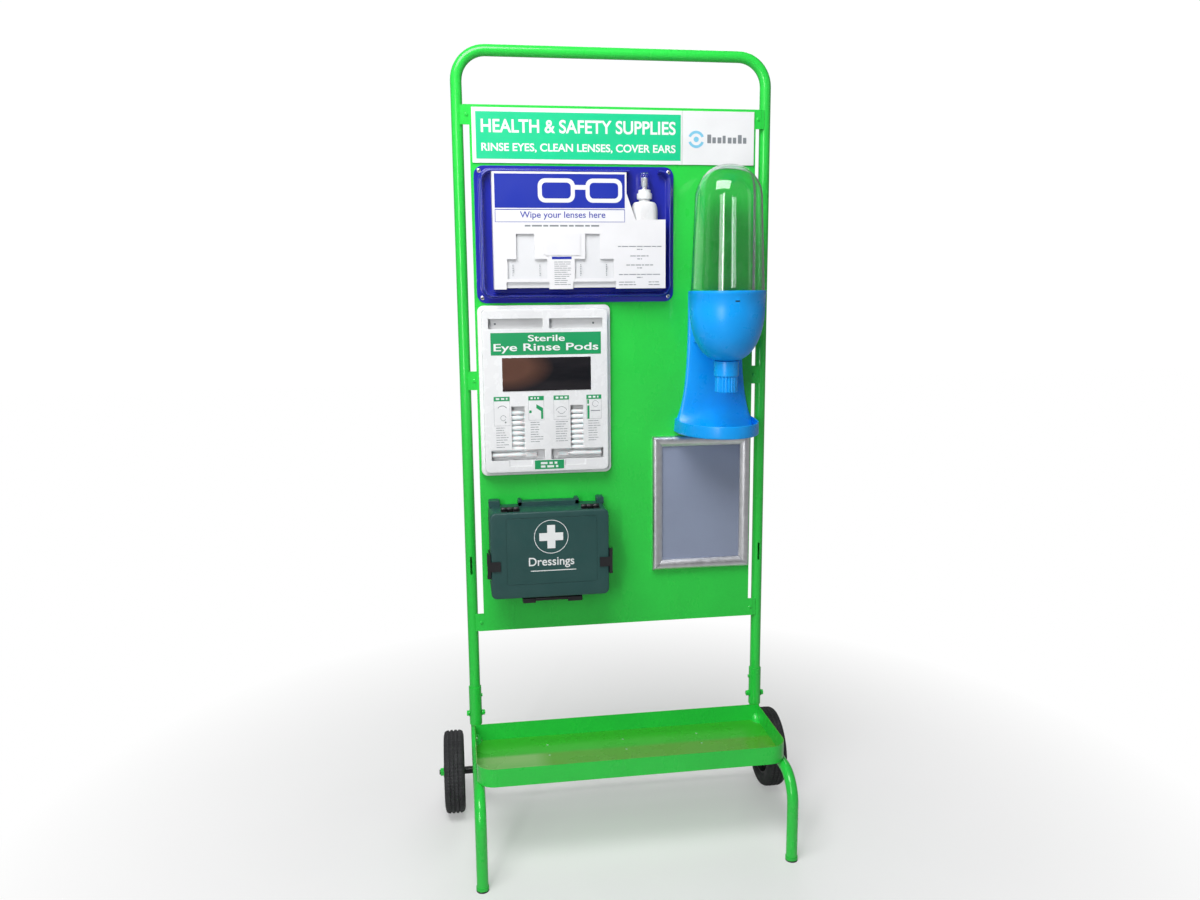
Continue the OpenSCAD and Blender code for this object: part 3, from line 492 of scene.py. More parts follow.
KEPT = {
    "frame": ("upper_frame", "panel_lugs", "joining_sleeves", "leg_left", "leg_right",
              "axle_brackets", "sleeve_bolts", "sleeve_nuts", "sleeve_rivets", "axle_nuts", "panel_screws"),
    "panel": ("panel",),
    "shelf": ("shelf_tray",),
    "ferrule": ("foot_ferrules",),
    "tyre": ("tyre_left", "tyre_right"),
    "black": ("axle", "axle_spacers", "rim_left", "rim_right", "kit_bracket", "kit_clip_left",
              "kit_clip_right", "kit_clip_seats", "kit_handle"),
    "board": ("sign_board", "emblem_plate"),
    "plated": ("lens_screws", "pod_case_screws", "dispenser_screws", "kit_hinge_pins", "kit_clip_pins"),
    "lens_blue": ("lens_tray",),
    "card": ("lens_card",),
    "tissue": ("tissue_boxes",),
    "bottle": ("spray_bottle", "spray_collar", "spray_head"),
    "overcap": ("spray_overcap",),
    "case": ("pod_case_back", "pod_case_front"),
    "mirror": ("pod_mirror",),
    "pod": ("pod_stack", "pod_left", "pod_right"),
    "kit": ("kit_base", "kit_lid"),
    "dressing": ("kit_dressings",),
    "blue": ("dispenser_back", "dispenser_cup", "dispenser_knob"),
    "rotor": ("dispenser_rotor",),
    "dome": ("dispenser_dome",),
    "rail": ("snap_backing", "snap_rail_top", "snap_rail_bottom", "snap_rail_left", "snap_rail_right"),
    "sheet": ("snap_sheet",),
}

for material, names in KEPT.items():
    for node in names:
        mesh = NODES[node].data
        mesh.materials.clear()
        mesh.materials.append(MAT[material])

# ---------------------------------------------------------------- more shared shapes


class Face:
    """A printed face of a piece. Places are in millimetres from the left and bottom edges of a node."""

    def __init__(self, node, y, body, slot):
        self.x0, _, self.z0, _, _, _ = span(node)
        self.y, self.body, self.slot = y, body, slot

    def u(self, value):
        return self.x0 + mm(value)

    def v(self, value):
        return self.z0 + mm(value)

    def area(self, x0, x1, z0, z1):
        return self.u(x0), self.u(x1), self.v(z0), self.v(z1)

    def block(self, bm, area, y0, y1):
        x0, x1, z0, z1 = self.area(*area)
        block(bm, x0, x1, y0, y1, z0, z1)

    def rect(self, x0, x1, z0, z1, radius=0.0):
        return box_outline(*self.area(x0, x1, z0, z1), mm(radius))

    def disc(self, x, z, radius, count=40):
        return disc_outline(self.u(x), self.v(z), mm(radius), count)

    def arc(self, x, z, radius, width, start, end, count=16):
        """A curved stroke."""
        angles = [math.radians(start + (end - start) * k / count) for k in range(count + 1)]
        return [(self.u(x) + r * math.cos(a), self.v(z) + r * math.sin(a))
                for r, way in ((mm(radius + width / 2), angles), (mm(radius - width / 2), reversed(angles)))
                for a in way]

    def bars(self, x0, x1, z_top, lines, height, gap, ragged, words):
        """Small bars that read as lines of fine print."""
        x0, x1, z_top, height, gap = self.u(x0), self.u(x1), self.v(z_top), mm(height), mm(gap)
        bars = []
        for row in range(lines):
            z = z_top - row * (height + gap)
            x = x0
            end = x1 - (x1 - x0) * ragged * random.random()
            while x < end - height:
                length = (x1 - x0) / words * (0.5 + random.random())
                stop = min(x + length, end)
                bars.append(box_outline(x, stop, z - height, z))
                x = stop + height * 0.9
        return bars

    def film(self, name, outlines, material, thick=FILM, layer=0):
        return film(name, outlines, self.y - layer * FILM, material, self.body, self.slot, thick)

    def letters(self, name, words, area, material, bold, layer=1):
        """Plain generic words, fitted to an area."""
        curve = bpy.data.curves.new(name, "FONT")
        curve.body, curve.offset, curve.extrude = words, bold, 0.02
        made = to_scene(name, curve)
        mesh = evaluated(made)
        bpy.data.objects.remove(made)
        xs = [v.co.x for v in mesh.vertices]
        zs = [v.co.y for v in mesh.vertices]
        x0, x1, z0, z1 = self.area(*area)
        sx = (x1 - x0) / (max(xs) - min(xs))
        sz = (z1 - z0) / (max(zs) - min(zs))
        for v in mesh.vertices:
            proud = FILM if v.co.z > 0 else mm(0.02)
            v.co = (x0 + (v.co.x - min(xs)) * sx, self.y - layer * FILM - proud, z0 + (v.co.y - min(zs)) * sz)
        bm = bmesh.new()
        bm.from_mesh(mesh)
        bpy.data.meshes.remove(mesh)
        add_mesh(name, bm, material, self.body, self.slot)


def tub(bm, area, corner, y_open, y_face, wall, edge):
    """A hollow box with one open side and rounded edges round its face. area = (x0, x1, z0, z1)."""
    x0, x1, z0, z1 = area
    inward = wall if y_face < y_open else -wall

    def loop(inset, y):
        return (x0 + inset, x1 - inset, z0 + inset, z1 - inset, max(corner - inset, mm(1)), y)

    formed(bm, [(loop(wall + 1.5 * edge, y_face + inward), 0), (loop(wall, y_face + inward), edge),
                (loop(wall, y_open), mm(0.3)), (loop(0, y_open), mm(0.5)),
                (loop(0, y_face), edge), (loop(1.5 * edge, y_face), 0)], steps=6)


def d_loop(centre_x, back_y, half, depth, z, power, count=48):
    """A half-oval in plan with a straight back; a small power squares off the front corners."""
    angles = [math.pi * k / count for k in range(count + 1)]
    return [Vector((centre_x + half * math.cos(a), back_y - depth * math.sin(a) ** power, z)) for a in angles]


def oval_loop(centre, width, depth, z, count=48):
    """A flat-sided oval in plan."""
    reach = max(width - depth, 0) / 2
    points = circle((*centre, z), depth / 2, count)
    for k, point in enumerate(points):
        point.x += reach if math.cos(2 * math.pi * k / count) >= 0 else -reach
    return points


def cross_recess_shade(name, node, size, slot):
    """Black crosses on every screw head of a node, one cross per separate screw, painted as the shade in the
    cross recesses.
    """
    front = span(node)[4]
    world = NODES[node].matrix_world
    face = [p for p in (world @ vertex.co for vertex in NODES[node].data.vertices) if p.y < front + mm(0.2)]
    heads = []
    for place in face:
        if all((place - seen).length > mm(12) for seen in heads):
            heads.append(place)
    outlines = []
    for head in heads:
        near = [p for p in face if (p - head).length < mm(11)]
        cx = (min(p.x for p in near) + max(p.x for p in near)) / 2
        cz = (min(p.z for p in near) + max(p.z for p in near)) / 2
        outlines.append(cross_outline(cx, cz, size, size * 0.26))
    # The crosses are flat black films: painted shade of the cross recesses.
    film(name, outlines, front, "black", "stand", slot, INK)


# ---------------------------------------------------------------- softened edges on CAD pieces

for node, width in (("panel", 0.5), ("shelf_tray", 0.6), ("panel_lugs", 0.5), ("axle_brackets", 0.7),
                    ("joining_sleeves", 0.6), ("sleeve_bolts", 0.4), ("sleeve_nuts", 0.4), ("axle_nuts", 0.6),
                    ("foot_ferrules", 0.8), ("sign_board", 0.5), ("emblem_plate", 0.5), ("lens_card", 0.4),
                    ("tissue_boxes", 1.2), ("rim_left", 1.2), ("rim_right", 1.2), ("kit_clip_left", 0.9),
                    ("kit_clip_right", 0.9), ("kit_clip_seats", 1.0), ("kit_bracket", 0.8),
                    ("kit_dressings", 8.0), ("lens_screws", 0.3), ("pod_case_screws", 0.3), ("axle", 0.8)):
    bevel(NODES[node], mm(width))

# ---------------------------------------------------------------- wheels


def tread(bm, node):
    """Tyre with grooves round the tread, fine cross cuts and rounded shoulders."""
    lo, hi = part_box(node)
    centre = (lo + hi) / 2
    outer = (hi.z - lo.z) / 2
    half = (hi.x - lo.x) / 2
    bead = mm(68.1)
    section = [(bead, -half + mm(6)), (bead + mm(7), -half), (outer - mm(14), -half),
               (outer - mm(4), -half + mm(2.5)), (outer - mm(0.8), -half + mm(8))]
    for groove in (-0.5, 0.0, 0.5):
        middle = groove * half * 0.8
        section += [(outer, middle - mm(1.9)), (outer - mm(3), middle - mm(1.2)),
                    (outer - mm(3), middle + mm(1.2)), (outer, middle + mm(1.9))]
    section += [(r, -h) for r, h in reversed(section[:5])]
    section = ease([((r, h), mm(1.2) if r > outer - mm(20) else mm(0.8)) for r, h in section], 3)
    loops = []
    for radius, height in section:
        cut_in = mm(1.1) if radius > outer - mm(2.4) else 0
        place = centre + Vector((height, 0, 0))
        loops.append(circle(place, lambda k: radius - (0 if k % 4 else cut_in), 288, 1, 2))
    skin(bm, loops, wrap=True)


for side in ("left", "right"):
    bm = bmesh.new()
    tread(bm, f"tyre_{side}")
    add_mesh(f"tread_{side}", bm, "tyre", f"wheel_{side}", "black_rubber", 40, (f"tyre_{side}",))

# ---------------------------------------------------------------- sign

sign = Face("sign_board", span("sign_board")[4], "stand", "white_board")
SIGN = span("sign_board")
film("sign_field", [box_outline(sign.u(8.5), SIGN[1] - mm(3), sign.v(8.5), SIGN[3] - mm(9))], sign.y, "mint",
     "stand", "white_board")
sign.letters("sign_title", "HEALTH & SAFETY SUPPLIES", (20, 458, 64.5, 93.5), "ink", 0.02)
sign.letters("sign_line", "RINSE EYES, CLEAN LENSES, COVER EARS", (20, 458, 22.5, 42.5), "ink", 0.02)
emblem = Face("emblem_plate", span("emblem_plate")[4], "stand", "white_board")
emblem.film("emblem_leaf", [emblem.arc(32, 56, 16, 6, 20, 160), emblem.arc(32, 56, 16, 6, 200, 340),
                            emblem.disc(32, 56, 6)], "sky_ink")
bars = ((9, 19), (8, 13), (9, 13), (7, 17), (9, 13), (8, 13), (9, 19), (8, 13))
emblem.film("emblem_bars", [emblem.rect(58 + 12 * k, 58 + 12 * k + width, 48, 48 + tall, 1)
                            for k, (width, tall) in enumerate(bars)], "grey_ink")

# ---------------------------------------------------------------- lens cleaning unit

LENS = span("lens_tray")
RING = (LENS[0] + mm(12), LENS[1] - mm(8.5), LENS[2] + mm(12.5), LENS[3] - mm(8.5))


def ring_at(inset, y):
    return (RING[0] + inset, RING[1] - inset, RING[2] + inset, RING[3] - inset, mm(26) - inset, y)


bm = bmesh.new()
flange_y = LENS[5] - mm(3)
formed(bm, [((*LENS[:4], mm(21), LENS[5]), 0), ((*LENS[:4], mm(21), flange_y), mm(1.5)),
            (ring_at(mm(-1.5), flange_y), mm(3)), (ring_at(mm(2), LENS[4]), mm(4)),
            (ring_at(mm(5.5), LENS[4]), mm(4)), (ring_at(mm(9), flange_y), mm(4)),
            (ring_at(mm(22), flange_y), 0)], steps=6, corner=14)
tray = add_mesh("lens_tray_formed", bm, "lens_blue", "stand", "lens_blue", 40, ("lens_tray",))
BOTTLE = span("spray_bottle")
bm = bmesh.new()
block(bm, BOTTLE[0] - mm(4), BOTTLE[1] + mm(4), LENS[4] - mm(4), flange_y - mm(0.1), RING[3] - mm(20),
      LENS[3] + mm(4))
cut(tray, bm)
bevel(tray, mm(2.2), 4, 50)
cross_recess_shade("lens_screw_recess_shade", "lens_screws", mm(4.6), "plated_steel")

card = Face("lens_card", span("lens_card")[4] + mm(1.5), "stand", "white_card")
card.film("card_header", [card.rect(5, 294, 176.5, 249.5)], "blue_ink")
card.film("card_glasses", [card.rect(100, 182, 188, 240, 16), card.rect(206, 288, 188, 240, 16),
                           card.rect(181.9, 206.1, 216, 226)], "ink", layer=1)
card.film("card_glasses_panes", [card.rect(109, 173, 197, 231, 9), card.rect(215, 279, 197, 231, 9)],
          "blue_ink", layer=2)
card.letters("card_title", "Wipe your lenses here", (60, 250, 151, 169), "blue_ink", 0.006, layer=0)
card.film("card_rule", [card.rect(5, 294, 172.5, 174), card.rect(5, 294, 146, 147),
                        card.rect(5, 6, 147, 172.5), card.rect(293, 294, 147, 172.5)], "blue_ink")
card.film("card_subline", card.bars(70, 242, 140, 1, 3.6, 2, 0.05, 9), "grey_ink", INK)
card.film("card_label_bar", [card.rect(129, 173, 65.5, 71)], "blue_ink")
small = card.bars(134, 172, 60, 12, 1.3, 3.2, 0.4, 3)
for x0, x1, top, words in ((278, 379, 94, 8), (321, 334, 87.5, 2), (306, 350, 73, 5), (322, 333, 66.5, 2),
                           (297, 360, 53, 6), (322, 333, 46.5, 2), (280, 376, 32, 8), (321, 334, 25.5, 2)):
    small += card.bars(x0, x1, top, 1, 2, 2, 0.03, words)
for x0, x1 in ((280, 320), (348, 376)):
    small += card.bars(x0, x1, 15, 2, 1.8, 4, 0.2, 3)
for column in (42, 102, 193.5, 251.5):
    small += card.bars(column - 1.2, column + 1.2, 54, 7, 2.2, 1.6, 0.0, 1)
card.film("card_small_print", small, "grey_ink", INK)
bevel(card.film("card_window", [card.rect(110, 189, 76.5, 124, 1)], "card", mm(0.9)), mm(0.3))

# Bottle: flat-sided body with a rounded shoulder, ribbed collar, spray head and clear overcap
axis = ((BOTTLE[0] + BOTTLE[1]) / 2, (BOTTLE[4] + BOTTLE[5]) / 2)
width, depth = BOTTLE[1] - BOTTLE[0], BOTTLE[5] - BOTTLE[4]
body_h = mm(200)
bm = bmesh.new()
sections = ease([((width - mm(8), depth - mm(8), mm(9)), 0), ((width, depth, mm(9)), mm(5)),
                 ((width, depth, body_h - mm(15)), mm(12)),
                 ((width * 0.84, depth * 0.92, body_h - mm(2.5)), mm(8)), ((mm(24), mm(24), body_h), mm(3)),
                 ((mm(24), mm(24), body_h + mm(20)), 0)], 8)
skin(bm, [oval_loop(axis, max(w, d), d, BOTTLE[2] + h) for w, d, h in sections])
add_mesh("bottle_body", bm, "bottle", "bottle", "bottle_white", 50, ("spray_bottle",))
bm = bmesh.new()
COLLAR = span("spray_collar")
collar_r = (COLLAR[1] - COLLAR[0]) / 2
for ring_r, z0, z1, ribs in ((collar_r, COLLAR[2], COLLAR[2] + mm(13), 0.35),
                             (collar_r - mm(3), COLLAR[2] + mm(12.5), COLLAR[3], 0.0)):
    skin(bm, [circle((*axis, z), lambda k: ring_r - inset - mm(ribs) * (k % 2), 80)
              for inset, z in ((mm(1), z0), (0, z0 + mm(0.8)), (0, z1 - mm(1)), (mm(1), z1))])
add_mesh("bottle_collar", bm, "bottle", "bottle", "bottle_white", 25, ("spray_collar",))
HEAD = span("spray_head")
CAP = span("spray_overcap")
bm = bmesh.new()
lathe(bm, ease([((mm(1.8), HEAD[2]), 0), ((mm(1.8), CAP[2] - mm(7)), 0), ((mm(4.9), CAP[2] - mm(7)), 0),
                ((mm(4.9), CAP[2] + mm(7)), 0), ((mm(7), CAP[2] + mm(9)), mm(1)),
                ((mm(7), HEAD[3] - mm(2)), mm(1)), ((mm(5.2), HEAD[3]), mm(1)),
                ((mm(2), HEAD[3] - mm(0.4)), 0)]), axis, 48)
add_mesh("spray_button", bm, "bottle", "spray_head", "bottle_white", 40, ("spray_head",))
bm = bmesh.new()
cap_r = (CAP[1] - CAP[0]) / 2
lathe(bm, ease([((cap_r, CAP[2]), 0), ((cap_r, CAP[2] + mm(3)), 0),
                ((cap_r - mm(0.5), CAP[3] - mm(2)), mm(2)), ((cap_r - mm(3), CAP[3]), mm(1.5)),
                ((mm(0.5), CAP[3]), 0), ((mm(0.5), CAP[3] - mm(1.2)), 0),
                ((cap_r - mm(3), CAP[3] - mm(1.2)), mm(1)), ((cap_r - mm(1.7), CAP[3] - mm(3)), mm(1)),
                ((cap_r - mm(1.3), CAP[2]), 0)]), axis, 48, wrap=True)
add_mesh("spray_cap_clear", bm, "overcap", "overcap", "clear_plastic", 40, ("spray_overcap",))

# ---------------------------------------------------------------- eye wash pod case

CASE = span("pod_case_back")
COVER = span("pod_case_front")
front = Face("pod_case_back", COVER[4], "stand", "case_white")


def case_at(inset, corner, y):
    return (CASE[0] + inset, CASE[1] - inset, CASE[2] + inset, CASE[3] - inset, mm(corner), y)


bm = bmesh.new()
formed(bm, [(case_at(0, 14, CASE[5]), 0), (case_at(0, 14, CASE[4]), mm(4)),
            (case_at(mm(9), 9, CASE[4]), mm(1)), (case_at(mm(11.5), 6, CASE[5] - mm(2)), mm(1)),
            (case_at(mm(23), 3, CASE[5] - mm(2)), 0)], steps=6)
add_mesh("case_tray", bm, "case", "stand", "case_white", 40, ("pod_case_back",))
bm = bmesh.new()
front.block(bm, (24, 280, 36, 200), CASE[5] - mm(9.6), CASE[5] - mm(2.5))
# Shallow floors behind the two upper windows; on each, a grey disc is painted as the shade of a screw hole
for x0, x1 in ((18, 150), (157, 288)):
    front.block(bm, (x0, x1, 333, 365), front.y + mm(17), front.y + mm(19))
# The liner takes the lighter copy of the case white, painted light in the recesses.
add_mesh("case_liner", bm, "case_painted_light", "stand", "case_white")
bm = bmesh.new()
for x0, x1 in ((62, 118), (191, 243)):
    front.block(bm, (x0, x1, 20, 37), front.y + mm(3.5), front.y + mm(6))
add_mesh("case_notch_floors", bm, "case", "stand", "case_white")
# Grey discs painted as the shade of a screw hole in each shallow floor.
SCREWS = span("pod_case_screws")
film("case_liner_hole_shade", [disc_outline(x, SCREWS[3] - mm(4), mm(2.4), 20)
                          for x in (SCREWS[0] + mm(4), SCREWS[1] - mm(4))],
     front.y + mm(17), "grey_ink", "stand", "case_white", INK)
bm = bmesh.new()
tub(bm, COVER[:4], mm(12), COVER[5], COVER[4], mm(2), mm(4))
cover = add_mesh("case_cover", bm, "case", "stand", "case_white", 40, ("pod_case_front",))
windows = ((23, 146, 338, 360.5), (161, 283, 338, 360.5), (23, 146, 37, 61), (161, 283, 37, 61),
           (71, 101, 63, 161.5), (207, 236, 63, 161.5))
notches = ((64, 116, 23, 38), (193, 241, 23, 38))
for openings in (windows, notches):
    bm = bmesh.new()
    for area in openings:
        front.block(bm, area, front.y - mm(5), front.y + mm(4))
    cut(cover, bm)
bevel(cover, mm(0.9), 3, 50)
cross_recess_shade("case_screw_recess_shade", "pod_case_screws", mm(5), "plated_steel")
front.film("case_title_plate", [front.rect(27.5, 279, 279, 329.5)], "label")
front.letters("case_title_small", "Sterile", (112, 196, 309.5, 324), "ink", 0.012)
front.letters("case_title", "Eye Rinse Pods", (34, 273, 283, 305), "ink", 0.014)
columns = ((31, 67.5, 118), (110, 145.5, 129), (168, 203.5, 129), (244, 279, 129))
frames, prints = [], []
for left, right, base in columns:
    frames += [front.rect(left, right, base, base + 0.5), front.rect(left, left + 0.5, base, 175),
               front.rect(right - 0.5, right, base, 175)]
    prints += front.bars(left + 4, right - 1, base - 4, 9, 1.4, 4.2, 0.45, 3)
prints += [front.arc(50, 152, 12, 1.6, 35, 145), front.arc(52, 136, 6, 1, 0, 330), front.disc(57, 126, 2, 16),
           front.arc(186, 152, 9, 1, 200, 340), front.arc(186, 146, 13, 1, 20, 160),
           front.rect(176, 197, 136, 137), front.rect(254, 276, 147, 149),
           front.arc(265, 164, 7, 0.8, 0, 330)]
arrow = [(128, 166), (143.5, 157), (143.5, 132), (138.5, 132), (138.5, 150), (128, 157)]
greens = [[(front.u(x), front.v(z)) for x, z in arrow], front.rect(111.5, 117, 146, 152, 1),
          front.rect(246, 251, 129, 160), front.rect(246, 250, 164, 174)]
front.film("case_heads", [front.rect(left, right, 175, 185) for left, right, _ in columns], "label")
words = []
for left, right, _ in columns:
    words += front.bars(left + 5, right - 4, 182.2, 1, 4.2, 2, 0.0, 5)
front.film("case_head_words", words, "ink", INK, 1)
front.film("case_frames", frames, "grey_ink", mm(0.08))
front.film("case_prints", prints, "grey_ink", mm(0.08))
front.film("case_greens", greens, "label", INK)
front.film("case_foot_label", [front.rect(122, 190, 14.5, 35.5)], "label")
front.film("case_foot_words", front.bars(136, 178, 31, 2, 5, 3, 0.1, 4), "ink", INK, 1)


POD_HALF = mm(40)


def pod(bm, centre_x, centre_y, centre_z, inward):
    """One sealed pod: rounded body, waist and a flat twist-off tab at its inner end (inward is -1 or 1)."""
    profile = ease([((mm(1), -POD_HALF), 0), ((mm(5), -POD_HALF), mm(2)),
                    ((mm(5.6), -POD_HALF + mm(5)), mm(2)), ((mm(5.6), POD_HALF - mm(12)), mm(5)),
                    ((mm(2.2), POD_HALF - mm(3)), mm(3)), ((mm(1.6), POD_HALF), 0),
                    ((mm(0.4), POD_HALF), 0)], 4)
    skin(bm, [circle((centre_x + inward * along, centre_y, centre_z), radius, 24, 1, 2)
              for radius, along in profile])
    ends = sorted(centre_x + inward * (POD_HALF + reach) for reach in (mm(-3), mm(23)))
    block(bm, *ends, centre_y - mm(0.8), centre_y + mm(0.8), centre_z - mm(5), centre_z + mm(5))


STACK = span("pod_stack")
for side, end, inward in (("left", 0, 1), ("right", 1, -1)):
    name = f"pod_{side}"
    low = span(name)
    mid_y, mid_z = (low[4] + low[5]) / 2, (low[2] + low[3]) / 2
    bm = bmesh.new()
    pod(bm, low[end] + inward * POD_HALF, mid_y, mid_z, inward)
    add_mesh(f"{name}_pod", bm, "pod", name, "pod_plastic", 50, (name,))
    bm = bmesh.new()
    for k in range(8):
        pod(bm, STACK[end] + inward * POD_HALF, mid_y, STACK[2] + mm(7) + k * mm(12), inward)
    add_mesh(f"pod_column_{side}", bm, "pod", "stand", "pod_plastic", 50, ("pod_stack",))

# ---------------------------------------------------------------- first aid box

BASE = span("kit_base")
LID = span("kit_lid")
HINGE = span("kit_hinge_pins")
lid_face = Face("kit_lid", LID[4], "kit_lid", "kit_green")
hinge_z = (HINGE[2] + HINGE[3]) / 2
seam = (HINGE[4] + HINGE[5]) / 2
kit_top = lid_face.v(201)
kit_area = (LID[0], LID[1], LID[2], kit_top)
bm = bmesh.new()
tub(bm, kit_area, mm(13), seam - mm(0.3), LID[4], mm(2.5), mm(7))
lid = add_mesh("kit_lid_shell", bm, "kit", "kit_lid", "kit_green", 40, ("kit_lid",))
bm = bmesh.new()
tub(bm, kit_area, mm(13), seam + mm(0.3), BASE[5], mm(2.5), mm(4))
base = add_mesh("kit_base_shell", bm, "kit", "stand", "kit_green", 40, ("kit_base",))
knuckle_spans = ((LID[0] + mm(27), LID[0] + mm(69)), (LID[0] + mm(211), LID[0] + mm(253)))
for piece, near, far in ((lid, -20, 1), (base, -1, 8)):
    bm = bmesh.new()
    for x0, x1 in knuckle_spans:
        block(bm, x0 - mm(0.5), x1 + mm(0.5), seam + mm(near), seam + mm(far), kit_top - mm(6),
              kit_top + mm(14))
    cut(piece, bm)
bevel(base, mm(0.9), 3, 50)
# A shallow groove runs round the lid's face
bm, inner = bmesh.new(), bmesh.new()
slab(bm, lid_face.rect(36, 244, 32, 188, 6), LID[4] - mm(2), LID[4] + mm(0.8))
slab(inner, lid_face.rect(37.6, 242.4, 33.6, 186.4, 4.6), LID[4] - mm(3), LID[4] + mm(2))
groove = to_object("groove", bm)
cut(groove, inner)
bm = bmesh.new()
bm.from_mesh(groove.data)
bpy.data.objects.remove(groove)
cut(lid, bm)
bevel(lid, mm(0.6), 3, 50)

# Knuckles and leaves in black plastic; their black also stands in as painted shade in the deep hinge notches.
barrels = {"kit_lid": bmesh.new(), "stand": bmesh.new()}
for x0, x1 in knuckle_spans:
    for a, b, body in ((0, 13.7, "kit_lid"), (14, 28, "stand"), (28.3, 42, "kit_lid")):
        bm = barrels[body]
        skin(bm, [circle((x0 + mm(x), seam, hinge_z), mm(4.5 - inset), 32, 1, 2)
                  for inset, x in ((0.8, a), (0, a + 0.8), (0, b - 0.8), (0.8, b))])
        near, far, top = (-22, -0.5, -1) if body == "kit_lid" else (0.5, 10, 1.5)
        block(bm, x0 + mm(a), x0 + mm(b), seam + mm(near), seam + mm(far), kit_top - mm(4), kit_top + mm(top))
for name, body in (("kit_hinge_lid", "kit_lid"), ("kit_hinge_middle", "stand")):
    add_mesh(name, barrels[body], "black", body, "black_plastic", 50)
bm = bmesh.new()
(left0, left1), (right0, right1) = knuckle_spans
for x0, x1, tall in ((LID[0] + mm(1), left0, 14), (left1, right0, 9), (left1, left1 + mm(9), 14),
                     (right0 - mm(9), right0, 14), (right1, LID[1] - mm(1), 14)):
    slab(bm, box_outline(x0, x1, kit_top - mm(3), kit_top + mm(tall), mm(3)), BASE[5] - mm(26),
         BASE[5] - mm(0.2))
HANDLE = span("kit_handle")
handle_pivot = BASE[5] - mm(32.7)
for x in (HANDLE[0] + mm(9), HANDLE[1] - mm(21)):
    block(bm, x, x + mm(12), handle_pivot - mm(7), handle_pivot + mm(7), LID[2] - mm(12), LID[2] + mm(1))
bevel(add_mesh("kit_hinge_base", bm, "kit", "stand", "kit_green", 50), mm(0.7))
# Handle: two thick ends joined by a slimmer grip
bm = bmesh.new()
for x0, x1 in ((HANDLE[0], HANDLE[0] + mm(30)), (HANDLE[1] - mm(34), HANDLE[1])):
    block(bm, x0, x1, HANDLE[4], HANDLE[4] + mm(15), HANDLE[2], HANDLE[3] - mm(3))
block(bm, HANDLE[0] + mm(26), HANDLE[1] - mm(30), HANDLE[4] + mm(1.5), HANDLE[4] + mm(13.5),
      HANDLE[2] + mm(4), HANDLE[3] - mm(3))
for x0 in (HANDLE[0], HANDLE[1] - mm(8)):
    block(bm, x0, x0 + mm(8), HANDLE[4] + mm(8), handle_pivot + mm(4), HANDLE[2] + mm(3), HANDLE[3] - mm(1.5))
grip = add_mesh("kit_handle_grip", bm, "black", "kit_handle", "black_plastic", 50, ("kit_handle",))
bevel(grip, mm(1.8), 4)
lid_face.film("kit_cross", [cross_outline(lid_face.u(138), lid_face.v(142.4), mm(54.4), mm(18.2))], "ink")
halves = [lid_face.arc(138, 142.4, 38.5, 1.3, start, start + 180, 28) for start in (0, 180)]
lid_face.film("kit_ring", halves, "ink")
lid_face.letters("kit_word", "Dressings", (86, 190, 69, 95), "ink", 0.01, layer=0)
lid_face.film("kit_line", [lid_face.rect(90, 194, 62.5, 64.5)], "ink")

# ---------------------------------------------------------------- earplug dispenser

CUP = span("dispenser_cup")
BACK = span("dispenser_back")
DOME = span("dispenser_dome")
KNOB = span("dispenser_knob")
plug_axis = plug_x, plug_y = (CUP[0] + CUP[1]) / 2, (CUP[4] + CUP[5]) / 2
cup_r = (CUP[1] - CUP[0]) / 2
rim_z, neck_z = CUP[3], CUP[2]
tray_z0, tray_z1 = BACK[2], BACK[2] + mm(29)
reach, half = BACK[5] - BACK[4], (BACK[1] - BACK[0]) / 2
bm = bmesh.new()
plate = [d_loop(plug_x, BACK[5], mm(61), mm(9), rim_z, 0.22),
         d_loop(plug_x, BACK[5], mm(63.4), mm(11.4), rim_z - mm(1), 0.22)]
for k in range(1, 45):
    z = rim_z - (rim_z - tray_z0 - mm(3)) * k / 44
    t = (rim_z - z) / (rim_z - tray_z0)
    side = min(half - mm(3), mm(64) + mm(24) * t ** 3 + mm(16) * t ** 8 + mm(10) * t ** 20)
    blend = max(0.0, 1 - (z - tray_z0 - mm(3)) / mm(62))
    depth = mm(12) + mm(70) * (1 - math.sqrt(max(0.0, 1 - blend ** 2)))
    plate.append(d_loop(plug_x, BACK[5], side, depth, z, 0.22 + 0.4 * blend))
skin(bm, plate)
# Catch tray, whose lip climbs a little towards the plate
lip_shape = ease([((mm(6), tray_z0), 0), ((0, tray_z0), mm(4)), ((0, tray_z1), mm(1.6)),
                  ((mm(3.4), tray_z1), mm(1.6)), ((mm(4.5), tray_z0 + mm(3)), mm(9)),
                  ((mm(30), tray_z0 + mm(3)), 0)], 5)
loops = []
for inset, z in lip_shape:
    raised = max(0.0, min(1.0, (z - tray_z0) / (tray_z1 - tray_z0)))
    ring = d_loop(plug_x, BACK[5], half - inset, reach - inset, z, 0.8)
    for n, place in enumerate(ring):
        sweep = 1 - math.sin(math.pi * n / (len(ring) - 1))
        place.z += mm(3) * raised * sweep ** 3
        place.x += (plug_x - place.x) * 0.03 * raised * sweep ** 2
    loops.append(ring)
skin(bm, loops)
block(bm, plug_x - mm(52), plug_x + mm(52), BACK[5] - mm(72), BACK[5] - mm(6), rim_z - mm(118),
      rim_z - mm(22))
back = add_mesh("dispenser_body", bm, "blue", "stand", "dispenser_blue", 40, ("dispenser_back",))
bevel(back, mm(3), 4, 60)
